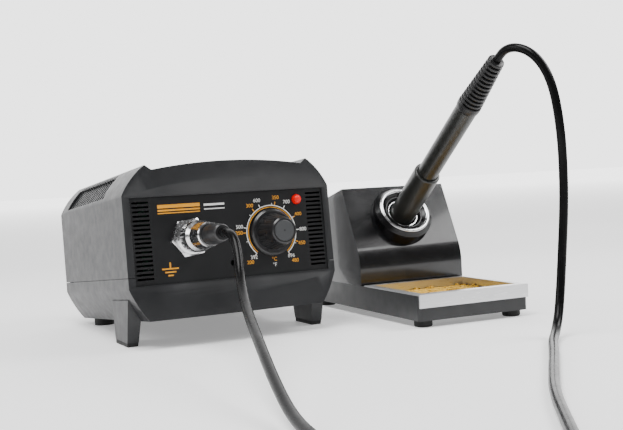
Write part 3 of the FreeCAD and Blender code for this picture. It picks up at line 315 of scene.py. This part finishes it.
def place_nodes(material, stretch):
    """Coordinates of the piece itself, in metres, stretched along its axes."""
    coordinates = add_node(material, "ShaderNodeTexCoord")
    mapping = add_node(material, "ShaderNodeMapping", Scale=stretch)
    wire(material, coordinates.outputs["Object"], mapping.inputs["Vector"])
    return mapping.outputs["Vector"]


def noise_at(material, size, detail=3.0, stretch=(1, 1, 1)):
    """Noise with features about size metres across."""
    node = add_node(material, "ShaderNodeTexNoise", Scale=1 / size, Detail=detail)
    wire(material, place_nodes(material, stretch), node.inputs["Vector"])
    return node.outputs["Fac"]


def cells_at(material, size):
    node = add_node(material, "ShaderNodeTexVoronoi", Scale=1 / size)
    wire(material, place_nodes(material, (1, 1, 1)), node.inputs["Vector"])
    return node.outputs["Distance"]


def ranged(material, source, low, high, source_range=(0.3, 0.7)):
    node = add_node(material, "ShaderNodeMapRange", From_Min=source_range[0],
                    From_Max=source_range[1], To_Min=low, To_Max=high)
    wire(material, source, node.inputs["Value"])
    return node.outputs["Result"]


def vary_roughness(material, source, low, high):
    wire(material, ranged(material, source, low, high), bsdf_of(material).inputs["Roughness"])


def vary_colour(material, source, dark, light, source_range=(0.3, 0.7)):
    ramp = add_node(material, "ShaderNodeValToRGB")
    ramp.color_ramp.elements[0].position = source_range[0]
    ramp.color_ramp.elements[0].color = (*dark, 1)
    ramp.color_ramp.elements[1].position = source_range[1]
    ramp.color_ramp.elements[1].color = (*light, 1)
    wire(material, source, ramp.inputs["Fac"])
    wire(material, ramp.outputs["Color"], bsdf_of(material).inputs["Base Color"])


def raise_surface(material, *heights):
    """Bumps from (source, depth in metres) pairs, chained into the shader's normal."""
    previous = None
    for source, depth in heights:
        bump = add_node(material, "ShaderNodeBump", Strength=1.0, Distance=depth)
        wire(material, source, bump.inputs["Height"])
        if previous is not None:
            wire(material, previous.outputs["Normal"], bump.inputs["Normal"])
        previous = bump
    wire(material, previous.outputs["Normal"], bsdf_of(material).inputs["Normal"])


def tinted(colour, factor):
    return tuple(min(1.0, c * factor) for c in colour)


def moulded(name, colour, roughness, grain=0.0005, depth=0.00003, **sockets):
    """Moulded plastic: a fine spark-eroded grain and slightly uneven gloss and colour."""
    material = shader(name, colour, roughness, **sockets)
    patches = noise_at(material, 0.02)
    vary_colour(material, patches, tinted(colour, 0.9), tinted(colour, 1.12))
    vary_roughness(material, noise_at(material, 0.006), roughness * 0.88, roughness * 1.12)
    raise_surface(material, (noise_at(material, grain, detail=2.0), depth))
    return material


def rubber(name, colour, roughness):
    material = moulded(name, colour, roughness, grain=0.0009, depth=0.00005)
    bsdf_of(material).inputs["Specular IOR Level"].default_value = 0.35
    return material


def enamel(name, colour, roughness, coat):
    """Sprayed gloss paint on steel: a faint orange peel under a clear coat."""
    material = shader(name, colour, roughness, Coat_Weight=coat, Coat_Roughness=0.06)
    vary_colour(material, noise_at(material, 0.03), tinted(colour, 0.85), tinted(colour, 1.2))
    vary_roughness(material, noise_at(material, 0.008), roughness * 0.85, roughness * 1.2)
    raise_surface(material, (noise_at(material, 0.0016, detail=1.0), 0.000006),
                  (noise_at(material, 0.0003, detail=1.0), 0.000004))
    return material


def plated(name, colour, roughness):
    """Polished plating: fine turning marks and a few dull patches."""
    material = shader(name, colour, roughness, metallic=1.0)
    vary_colour(material, noise_at(material, 0.004), tinted(colour, 0.88), colour)
    vary_roughness(material, noise_at(material, 0.0015), roughness * 0.6, roughness * 1.7)
    raise_surface(material, (noise_at(material, 0.0004, detail=1.0, stretch=(1, 6, 1)), 0.000003))
    return material


def brushed(name, colour, roughness, stretch):
    """Sheet metal brushed in one direction, with long fine streaks."""
    material = shader(name, colour, roughness, metallic=1.0, Anisotropic=0.4)
    streaks = noise_at(material, 0.0006, detail=4.0, stretch=stretch)
    vary_colour(material, streaks, tinted(colour, 0.9), colour)
    vary_roughness(material, streaks, roughness * 0.75, roughness * 1.35)
    raise_surface(material, (streaks, 0.000004))
    return material


def clear_red(name):
    """Lit lens of the indicator lamp."""
    material = shader(name, (0.8, 0.0, 0.0), 0.25, Specular_IOR_Level=0.3,
                      Emission_Color=(1.0, 0.0, 0.0, 1), Emission_Strength=0.2)
    vary_colour(material, noise_at(material, 0.003), (0.6, 0.0, 0.0), (0.85, 0.002, 0.002))
    raise_surface(material, (noise_at(material, 0.001), 0.00001))
    return material


def sponge_foam(name):
    """Cellulose sponge: golden, with open pores of two sizes."""
    material = shader(name, (0.6, 0.34, 0.035), 0.95, Specular_IOR_Level=0.15)
    patches = noise_at(material, 0.0016, detail=6.0)
    vary_colour(material, patches, (0.35, 0.16, 0.015), (0.83, 0.52, 0.08), (0.35, 0.62))
    raise_surface(material, (cells_at(material, 0.0022), 0.0006),
                  (noise_at(material, 0.0007, detail=4.0), 0.0003))
    return material


def laminations(name):
    material = shader(name, (0.2, 0.19, 0.18), 0.5, metallic=0.7)
    sheets = noise_at(material, 0.0007, detail=1.0, stretch=(0.02, 1, 0.02))
    vary_colour(material, sheets, (0.1, 0.09, 0.085), (0.26, 0.25, 0.24))
    raise_surface(material, (sheets, 0.00005))
    return material


def wound_tape(name):
    material = shader(name, (0.55, 0.36, 0.07), 0.3, Coat_Weight=0.4)
    wraps = noise_at(material, 0.004, detail=1.0, stretch=(0.05, 0.05, 1))
    vary_colour(material, wraps, (0.4, 0.24, 0.04), (0.66, 0.45, 0.1))
    raise_surface(material, (wraps, 0.0001))
    return material


def printed(name, colour):
    """Screen-printed ink: slightly uneven cover."""
    material = shader(name, colour, 0.5)
    vary_colour(material, noise_at(material, 0.0006), tinted(colour, 0.82), colour, (0.25, 0.5))
    raise_surface(material, (noise_at(material, 0.0002), 0.00001))
    return material


def floor_paper(name):
    """White paper, lit more and more towards the bright wall."""
    material = shader(name, (0.86, 0.86, 0.865), 0.75, Specular_IOR_Level=0.2,
                      Emission_Color=(1, 1, 1, 1))
    away = add_node(material, "ShaderNodeVectorMath")
    away.operation = "DOT_PRODUCT"
    away.inputs[1].default_value = towards_wall()
    wire(material, place_nodes(material, (1, 1, 1)), away.inputs[0])
    glow = ranged(material, away.outputs["Value"], *FLOOR_GLOW, FLOOR_GLOW_SPAN)
    wire(material, glow, bsdf_of(material).inputs["Emission Strength"])
    vary_colour(material, noise_at(material, 0.3), (0.84, 0.84, 0.845), (0.88, 0.88, 0.88))
    return material


def make_materials():
    """One material for each of the record's slots."""
    return {
        "case_plastic": moulded("case_plastic", (0.015, 0.0155, 0.017), 0.4,
                                Specular_IOR_Level=0.45),
        "panel_black": moulded("panel_black", (0.006, 0.0062, 0.007), 0.5, depth=0.00004,
                               Specular_IOR_Level=0.3),
        "knob_black": moulded("knob_black", (0.012, 0.012, 0.013), 0.3),
        "knob_face": moulded("knob_face", (0.045, 0.047, 0.05), 0.45),
        "led_red": clear_red("led_red"),
        "chrome": plated("chrome", (0.8, 0.8, 0.81), 0.17),
        "plain_steel": plated("plain_steel", (0.55, 0.56, 0.57), 0.28),
        "board_green": moulded("board_green", (0.01, 0.09, 0.035), 0.3, Coat_Weight=0.5),
        "component_black": moulded("component_black", (0.014, 0.014, 0.015), 0.36),
        "insulator": moulded("insulator", (0.05, 0.05, 0.052), 0.45),
        "contact_brass": plated("contact_brass", (0.8, 0.6, 0.28), 0.2),
        "sink_aluminium": brushed("sink_aluminium", (0.62, 0.63, 0.65), 0.35, (1, 1, 0.05)),
        "core_steel": laminations("core_steel"),
        "coil_wrap": wound_tape("coil_wrap"),
        "inlet_black": moulded("inlet_black", (0.014, 0.014, 0.015), 0.28),
        "foot_rubber": rubber("foot_rubber", (0.012, 0.012, 0.012), 0.6),
        "boot_rubber": rubber("boot_rubber", (0.013, 0.013, 0.0135), 0.38),
        "stand_paint": enamel("stand_paint", (0.006, 0.0062, 0.007), 0.22, 0.5),
        "base_paint": enamel("base_paint", (0.009, 0.0093, 0.0105), 0.36, 0.1),
        "tray_steel": brushed("tray_steel", (0.74, 0.74, 0.75), 0.34, (0.03, 1, 1)),
        "sponge_yellow": sponge_foam("sponge_yellow"),
        "holder_gloss": moulded("holder_gloss", (0.004, 0.004, 0.0045), 0.2, depth=0.000008,
                                Specular_IOR_Level=0.35),
        "handle_black": moulded("handle_black", (0.014, 0.0145, 0.013), 0.34),
        "ceramic": moulded("ceramic", (0.78, 0.76, 0.7), 0.25),
        "tip_plate": plated("tip_plate", (0.42, 0.42, 0.43), 0.3),
        "cord_black": moulded("cord_black", (0.004, 0.004, 0.0042), 0.26, grain=0.0012,
                              depth=0.00001, Specular_IOR_Level=0.12),
    }


# ---------------------------------------------------------------- CAD nodes

EDGE_ROUNDING = {                  # millimetres; the rest stay as modelled
    "upper_shell": 0.5, "lower_shell": 0.5, "stand_hood": 0.3,
    "stand_base": 0.3, "sponge_tray": 0.2, "holder_ring": 0.35, "grip_sleeve": 0.3,
    "handle_tube": 0.25, "leg_pads": 0.4, "rear_feet": 0.4, "stand_feet": 0.3,
    "switch_rocker": 0.4, "socket_nut": 0.25,
}
ROUNDED_ABOVE = 28.0               # degrees between two faces


def round_edges(node, width):
    """Welds the imported faces and rounds every sharp edge."""
    node.modifiers.new("weld", "WELD").merge_threshold = WELD_WITHIN
    bevel = node.modifiers.new("edges", "BEVEL")
    bevel.width = width
    bevel.segments = 2
    bevel.limit_method = "ANGLE"
    bevel.angle_limit = math.radians(ROUNDED_ABOVE)
    bevel.miter_outer = "MITER_ARC"
    normals = node.modifiers.new("normals", "WEIGHTED_NORMAL")
    normals.keep_sharp = False


def dress_cad_nodes(materials):
    for row in frame["record"]["subparts"]:
        name = row["node"]
        node = frame["nodes"][name]
        give_material(node, materials[row["material_slot"]])
        if name in EDGE_ROUNDING:
            round_edges(node, EDGE_ROUNDING[name] * MM)


# ---------------------------------------------------------------- front panel graphics

PANEL_FACE = 0.8                   # millimetres behind the unit's front plane
PRINT_THICKNESS = 0.06
DIAL_AT = (25.2, 61.2)
WHITE_ARC = (15.75, 16.3)          # inner and outer radius
AMBER_ARC = (14.75, 15.2)
ARC_STEPS = 72
DIAL_ENDS = (200, 480)             # degrees C
ANGLE_AT_250 = 178.0               # on the panel, anticlockwise from 3 o'clock
WHITE_NUMBERS = (392, 500, 600, 700, 800, 896)       # degrees F
AMBER_NUMBERS = (200, 250, 300, 350, 400, 450, 480)  # degrees C
WHITE_MINOR_TICKS = (450, 550, 650, 750, 850)        # degrees F, without numbers
WHITE_TICK = ((WHITE_ARC[0], 18.2), 0.5)             # radii and width
WHITE_MINOR_TICK = ((WHITE_ARC[0], 17.4), 0.35)
AMBER_TICK = ((16.5, 18.4), 0.45)
NUMBER_SIZE = 3.1
NUMBER_RADIUS = 20.9
END_NUMBER_SHIFT = 1.9             # at both ends the white number moves in, the amber one out
WHITE_SIGN_AT = (DIAL_AT[0] + 0.4, 41.7)
AMBER_SIGN_AT = (DIAL_AT[0] + 0.4, 45.0)


def dial_angle(celsius):
    """One degree of the dial is one degree C."""
    return math.radians(ANGLE_AT_250 - (celsius - 250))


def celsius_of(fahrenheit):
    return (fahrenheit - 32) / 1.8


def add_print(bm, outline):
    """Thin closed plate on the panel's face from an outline of (x, z) points."""
    back = [bm.verts.new((x, PANEL_FACE + PRINT_THICKNESS, z)) for x, z in outline]
    front = [bm.verts.new((x, PANEL_FACE - PRINT_THICKNESS, z)) for x, z in outline]
    bm.faces.new(front)
    bm.faces.new(back[::-1])
    for index in range(len(outline)):
        after = (index + 1) % len(outline)
        bm.faces.new((front[index], front[after], back[after], back[index]))


def dial_point(radius, angle):
    return DIAL_AT[0] + radius * math.cos(angle), DIAL_AT[1] + radius * math.sin(angle)


def add_arc(bm, radii, ends):
    start, end = dial_angle(ends[0]), dial_angle(ends[1])
    for step in range(ARC_STEPS):
        a = start + (end - start) * step / ARC_STEPS
        b = start + (end - start) * (step + 1) / ARC_STEPS
        add_print(bm, [dial_point(radii[0], a), dial_point(radii[1], a),
                       dial_point(radii[1], b), dial_point(radii[0], b)])


def add_tick(bm, celsius, radii, width):
    angle = dial_angle(celsius)
    side = Vector((-math.sin(angle), math.cos(angle))) * width / 2
    inner, outer = Vector(dial_point(radii[0], angle)), Vector(dial_point(radii[1], angle))
    add_print(bm, [inner - side, outer - side, outer + side, inner + side])


def add_text(bm, body, size, at):
    """Text as a thin solid, centred on a point of the panel."""
    curve = bpy.data.curves.new("text", "FONT")
    curve.body = body
    curve.size = size
    curve.extrude = PRINT_THICKNESS
    curve.align_x = "CENTER"
    curve.align_y = "CENTER"
    mesh = mesh_of_curve(curve)
    mesh.transform(Matrix.Translation((at[0], PANEL_FACE, at[1])) @ FACING_FRONT)
    bm.from_mesh(mesh)
    bpy.data.meshes.remove(mesh)


def panel_print(bm, name, ink):
    piece_from(bm, name, UNIT, ink, "station", smooth=False)


def dial_scales(white, amber):
    """Arc and ticks of both scales, printed on the panel."""
    bm = bmesh.new()
    add_arc(bm, WHITE_ARC, DIAL_ENDS)
    for value in WHITE_NUMBERS:
        add_tick(bm, celsius_of(value), *WHITE_TICK)
    for value in WHITE_MINOR_TICKS:
        add_tick(bm, celsius_of(value), *WHITE_MINOR_TICK)
    panel_print(bm, "dial_scale_white", white)
    bm = bmesh.new()
    add_arc(bm, AMBER_ARC, DIAL_ENDS)
    for value in AMBER_NUMBERS:
        add_tick(bm, value, *AMBER_TICK)
    panel_print(bm, "dial_scale_amber", amber)


def add_numbers(bm, values, in_celsius, end_shift):
    """Numbers round the dial, with the first and last moved out by end_shift."""
    for value in values:
        radius = NUMBER_RADIUS + (end_shift if value in (values[0], values[-1]) else 0)
        add_text(bm, str(value), NUMBER_SIZE, dial_point(radius, dial_angle(in_celsius(value))))


def dial_numbers(white, amber):
    """Numbers and unit signs of both scales."""
    bm = bmesh.new()
    add_numbers(bm, WHITE_NUMBERS, celsius_of, -END_NUMBER_SHIFT)
    add_text(bm, "°F", NUMBER_SIZE, WHITE_SIGN_AT)
    panel_print(bm, "dial_numbers_white", white)
    bm = bmesh.new()
    add_numbers(bm, AMBER_NUMBERS, float, END_NUMBER_SHIFT)
    add_text(bm, "°C", NUMBER_SIZE, AMBER_SIGN_AT)
    panel_print(bm, "dial_numbers_amber", amber)


AMBER_BARS_ACROSS = (-44.5, -18.8)
AMBER_BARS_UP = ((79.4, 81.4), (77.6, 78.6), (76.2, 76.8))
WHITE_BARS_ACROSS = (-16.4, -3.6)
WHITE_BARS_UP = ((79.4, 80.6), (77.2, 77.8))
EARTH_AT = (-39.6, 45.2)           # foot of the earth sign's stem
EARTH_STEM = 3.2
EARTH_LINE = 0.8
EARTH_PITCH = 1.9
EARTH_HALF_WIDTHS = (5.0, 3.3, 1.6)


def add_bar(bm, x, z):
    add_print(bm, [(x[0], z[0]), (x[1], z[0]), (x[1], z[1]), (x[0], z[1])])


def add_earth_sign(bm):
    x, top = EARTH_AT
    for index, half in enumerate(EARTH_HALF_WIDTHS):
        high = top - EARTH_PITCH * index
        add_bar(bm, (x - half, x + half), (high - EARTH_LINE, high))
    add_bar(bm, (x - EARTH_LINE / 2, x + EARTH_LINE / 2), (top, top + EARTH_STEM))


def panel_marks(white, amber):
    """Plain bars and an earth sign where the panel carries its printed marks."""
    bm = bmesh.new()
    for span in AMBER_BARS_UP:
        add_bar(bm, AMBER_BARS_ACROSS, span)
    add_earth_sign(bm)
    panel_print(bm, "panel_marks_amber", amber)
    bm = bmesh.new()
    for span in WHITE_BARS_UP:
        add_bar(bm, WHITE_BARS_ACROSS, span)
    panel_print(bm, "panel_marks_white", white)


# ---------------------------------------------------------------- pieces of the unit

# Sizes in millimetres of the unit's frame
KNOB_DOT = ((-0.1, 0), (-0.1, 0.6), (0.02, 0.55), (0.02, 0))   # lathe profile from the knob's face
POINTER_REACH = (12.0, 13.7)       # from the knob's axis
POINTER_DEPTH = (3.35, 2.75)       # in front of the panel's face
POINTER_WIDTH = 0.6
POINTER_BEVEL = 0.08
ROCKER_PIVOT = (-16.0, 145.0, 52.0)
ROCKER_TILT = 9.0                  # degrees
ROCKER_FOLD = (2.6, 13.3)          # millimetres behind the pivot; slope of each half in degrees
ROCKER_BAR = ((-0.35, 0.35), (-0.1, 0.05), (3.0, 6.2))
ROCKER_RING = ((-0.1, 1.1), (-0.1, 1.7), (0.05, 1.7), (0.05, 1.1))
ROCKER_RING_DOWN = 4.6             # below the fold
SCREW_SEAT = 145.0                 # 0.2 inside the rear panel's face
REAR_SCREWS_AT = ((-51.0, 29.0), (51.0, 29.0), (-50.0, 88.0), (50.0, 88.0))
SCREW_HEAD = ((0, 0), (0, 3.0), (0.7, 3.0), (1.4, 2.5), (1.8, 1.5), (1.9, 0.9), (1.1, 0.7),
              (1.1, 0))            # a domed head with a round recess


def front_of(name):
    """How far forward a node reaches, in millimetres of the unit's frame."""
    node = frame["nodes"][name]
    into_unit = UNIT.inverted() @ node.matrix_world
    return min((into_unit @ vert.co).y for vert in node.data.vertices) / MM


def knob_details(white, dark):
    """Pointer line on the skirt and the small dark mark in the middle of the face."""
    x, z = DIAL_AT
    bm = bmesh.new()
    add_lathe(bm, KNOB_DOT, 32, Matrix.Translation((x, front_of("knob_cap"), z)) @ FACING_FRONT)
    piece_from(bm, "knob_centre", UNIT, dark, "knob")
    bm = bmesh.new()
    add_block(bm, [x + reach for reach in POINTER_REACH],
              [PANEL_FACE - depth for depth in POINTER_DEPTH],
              (z - POINTER_WIDTH / 2, z + POINTER_WIDTH / 2))
    bmesh.ops.bevel(bm, geom=bm.edges[:], offset=POINTER_BEVEL, segments=2, affect="EDGES")
    piece_from(bm, "knob_pointer", UNIT, white, "knob")


def rocker_half(side):
    """Frame on the fold of the rocker, with Z up one half of it: side is 1 or -1."""
    depth, slope = ROCKER_FOLD
    return (Matrix.Translation(ROCKER_PIVOT) @ Matrix.Rotation(math.radians(-ROCKER_TILT), 4, "X")
            @ Matrix.Translation((0, depth, 0))
            @ Matrix.Rotation(math.radians(-side * slope), 4, "X"))


def rocker_marks(white):
    """The bar and ring that mark the two ends of a mains switch."""
    bm = bmesh.new()
    bar = add_block(bm, *ROCKER_BAR)
    bmesh.ops.transform(bm, matrix=rocker_half(1), verts=bar)
    ring_frame = rocker_half(-1) @ Matrix.Translation((0, 0, -ROCKER_RING_DOWN)) @ FACING_BACK
    add_lathe(bm, ROCKER_RING, 40, ring_frame)
    piece_from(bm, "rocker_marks", UNIT, white, "rocker")


def rear_panel_screws(steel):
    """Four screws in the corners of the back plate."""
    bm = bmesh.new()
    for x, z in REAR_SCREWS_AT:
        add_lathe(bm, SCREW_HEAD, 32, Matrix.Translation((x, SCREW_SEAT, z)) @ FACING_BACK)
    piece_from(bm, "rear_panel_screws", UNIT, steel, "station")


# ---------------------------------------------------------------- pieces of the iron and its stand

HANDLE_END = 109.5                 # millimetres along the iron, as for all sizes up to the sponge's
BOOT_END = 150.1
BOOT_RIBS = 12
BOOT_RADII = (7.4, 5.0)            # at its two ends
BOOT_CORE = 3.3                    # radius
BOOT_COLLAR_END = HANDLE_END + 5.2
BOOT_PITCH = (BOOT_END - BOOT_COLLAR_END - 0.3) / BOOT_RIBS
BOOT_GAP = 0.42                    # share of the pitch that is open between two ribs
BOOT_SPINE = 1.5                   # half of its width
OUTER_TRIM = ((6.6, 15.2), (7.2, 15.5), (7.65, 16.2), (7.65, 17.0), (7.2, 17.7), (6.5, 18.0),
              (5.9, 17.2), (5.6, 15.6))
INNER_TRIM = ((2.6, 9.5), (3.1, 9.65), (3.35, 10.0), (3.35, 10.35), (3.0, 10.7), (2.4, 10.8))


def boot_radius(s):
    start = HANDLE_END + 4
    return BOOT_RADII[0] + (BOOT_RADII[1] - BOOT_RADII[0]) * (s - start) / (BOOT_END - start)


def add_boot_core(bm):
    """Plug in the handle, rounded collar and thin core."""
    add_lathe(bm, [(HANDLE_END - 8, 0), (HANDLE_END - 8, 5.0), (HANDLE_END, 5.0),
                   (HANDLE_END, 6.9), (HANDLE_END + 0.4, 7.2), (HANDLE_END + 2.6, 7.4),
                   (BOOT_COLLAR_END - 0.5, 7.35), (BOOT_COLLAR_END, 6.9),
                   (BOOT_COLLAR_END, BOOT_CORE), (BOOT_END, BOOT_CORE - 0.4), (BOOT_END, 0)])


def add_boot_rib(bm, index):
    """One rib with rounded edges, sunk a little into the core."""
    low = BOOT_COLLAR_END + BOOT_PITCH * (index + BOOT_GAP)
    high = BOOT_COLLAR_END + BOOT_PITCH * (index + 1)
    radius = boot_radius(low) - 0.05
    foot = BOOT_CORE - 0.3
    add_lathe(bm, [(low, foot), (low, radius - 0.45), (low + 0.18, radius - 0.12),
                   (low + 0.5, radius), (high - 0.5, radius - 0.04), (high - 0.15, radius - 0.2),
                   (high, radius - 0.5), (high, foot)], 56)


def add_boot_spine(bm, side, index):
    """Stretch of a flat spine from one rib to the next: side is 1 or -1."""
    low = BOOT_COLLAR_END + BOOT_PITCH * index - 0.2
    high = BOOT_COLLAR_END + BOOT_PITCH * (index + 1)
    radius = boot_radius(high) - 0.35
    add_block(bm, sorted((side * (BOOT_CORE - 0.6), side * radius)), (-BOOT_SPINE, BOOT_SPINE),
              (low, high))


def cable_boot(material):
    """Segmented strain relief: ribs on a thin core, joined by two flat spines."""
    bm = bmesh.new()
    add_boot_core(bm)
    for index in range(BOOT_RIBS):
        add_boot_rib(bm, index)
    for side in (-1, 1):
        for index in range(BOOT_RIBS):
            add_boot_spine(bm, side, index)
    boot = piece_from(bm, "iron_boot", IRON, material, "iron")
    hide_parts("cable_boot")


def holder_trims(chrome):
    """Two bright rings on the dished front of the holder."""
    for name, profile, segments in (("holder_trim_outer", OUTER_TRIM, 128),
                                    ("holder_trim_inner", INNER_TRIM, 96)):
        bm = bmesh.new()
        add_lathe(bm, profile, segments)
        piece_from(bm, name, IRON, chrome, "station")


SPONGE_SINK = 0.0020               # metres by which the worn top lies below the new sponge's
SPONGE_VOXEL = 0.0007
SPONGE_WAVES = ((90, 0.00035), (30, 0.0005))         # noise scale and height
SPONGE_PORES = (420, 0.0035)
PORE_THRESHOLD = 0.12
SPONGE_INSET = 0.0005              # all round, and a little more at its sides
SPONGE_SIDE_INSET = 0.0004


def sponge_relief(place):
    """How far the worn surface stands out from the new sponge at a point."""
    swell = sum(noise.noise(place * scale) * height for scale, height in SPONGE_WAVES)
    scale, depth = SPONGE_PORES
    pore = max(0.0, noise.noise(place * scale) - PORE_THRESHOLD) * depth
    return swell - SPONGE_INSET - pore


def fine_sponge():
    """The sponge's CAD solid as an object of small even faces."""
    mesh = bpy.data.meshes.new("tip_sponge")
    bm = bmesh.new()
    bm.from_mesh(frame["nodes"]["sponge"].data)
    bmesh.ops.remove_doubles(bm, verts=bm.verts[:], dist=WELD_WITHIN)
    bm.to_mesh(mesh)
    bm.free()
    piece = link("tip_sponge", mesh)
    remesh = piece.modifiers.new("remesh", "REMESH")
    remesh.mode = "VOXEL"
    remesh.voxel_size = SPONGE_VOXEL
    fine = evaluated_mesh(piece)
    piece.modifiers.clear()
    piece.data = fine
    return piece


def sponge(material):
    """Damp sponge: a soft-edged slab with a hole, its faces uneven with open pores."""
    low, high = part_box("sponge")
    middle = (low + high) / 2
    piece = fine_sponge()
    for vert in piece.data.vertices:
        inward = Vector((middle.x - vert.co.x, middle.y - vert.co.y, 0)).normalized()
        vert.co += vert.normal * sponge_relief(vert.co) + inward * SPONGE_SIDE_INSET
        vert.co.z -= SPONGE_SINK * (vert.co.z - low.z) / (high.z - low.z)
    shade(piece.data)
    finish_piece(piece, material, "sponge_body")
    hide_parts("sponge")


# ---------------------------------------------------------------- room and light

LIGHTS = (                         # name, place, aim, size in metres and power in watts
    ("key", (-0.5, -0.2, 1.4), (0, 0, 0.0), (0.9, 0.9), 30),
    ("left_panel", (-1.3, 0.4, 0.7), (-0.1, 0.05, 0.07), (0.6, 0.6), 6),
    ("right_panel", (0.9, -0.3, 0.9), (0.1, -0.1, 0.0), (0.6, 0.6), 12),
    ("hood_strip", (0.52, -0.63, 0.64), (0.08, 0.0, 0.06), (0.8, 0.08), 1.4),
)
FLOOR_HALF_SIZE = 6.0


def area_light(name, at, aim, size, power):
    data = bpy.data.lights.new(name, "AREA")
    data.shape = "RECTANGLE"
    data.size, data.size_y = size
    data.energy = power
    lamp = link(name, data)
    lamp.location = at
    lamp.rotation_euler = (Vector(aim) - Vector(at)).to_track_quat("-Z", "Y").to_euler()


def make_room():
    """Paper floor, the surroundings and the four lights."""
    bm = bmesh.new()
    bmesh.ops.create_grid(bm, x_segments=8, y_segments=8, size=FLOOR_HALF_SIZE)
    mesh = bpy.data.meshes.new("floor")
    bm.to_mesh(mesh)
    bm.free()
    mesh.materials.append(floor_paper("floor_paper"))
    floor = link("floor", mesh)
    make_surroundings()
    for light in LIGHTS:
        area_light(*light)


def make_surroundings():
    """Bright wall behind the object as first seen, and a dim room on every other side."""
    world = bpy.data.worlds.new("world")
    world.use_nodes = True
    tree = world.node_tree
    background = tree.nodes["Background"]
    background.inputs["Color"].default_value = (1, 1, 1, 1)
    direction = tree.nodes.new("ShaderNodeTexCoord")
    towards = tree.nodes.new("ShaderNodeVectorMath")
    towards.operation = "DOT_PRODUCT"
    towards.inputs[1].default_value = towards_wall()
    tree.links.new(direction.outputs["Generated"], towards.inputs[0])
    strength = tree.nodes.new("ShaderNodeMapRange")
    strength.interpolation_type = "SMOOTHSTEP"
    for name, value in (("From Min", WALL_EDGE[0]), ("From Max", WALL_EDGE[1]),
                        ("To Min", DIM_ROOM), ("To Max", BRIGHT_WALL)):
        strength.inputs[name].default_value = value
    tree.links.new(towards.outputs["Value"], strength.inputs["Value"])
    tree.links.new(strength.outputs["Result"], background.inputs["Strength"])
    bpy.context.scene.world = world


# ---------------------------------------------------------------- making

make_camera()
materials = make_materials()
make_cord(materials["cord_black"])
dress_cad_nodes(materials)
white_ink = printed("white_ink", (0.82, 0.82, 0.8))
amber_ink = printed("amber_ink", (0.85, 0.36, 0.008))
dial_scales(white_ink, amber_ink)
dial_numbers(white_ink, amber_ink)
panel_marks(white_ink, amber_ink)
knob_details(white_ink, materials["knob_black"])
rocker_marks(white_ink)
rear_panel_screws(materials["plain_steel"])
cable_boot(materials["boot_rubber"])
holder_trims(materials["chrome"])
sponge(materials["sponge_yellow"])
make_room()
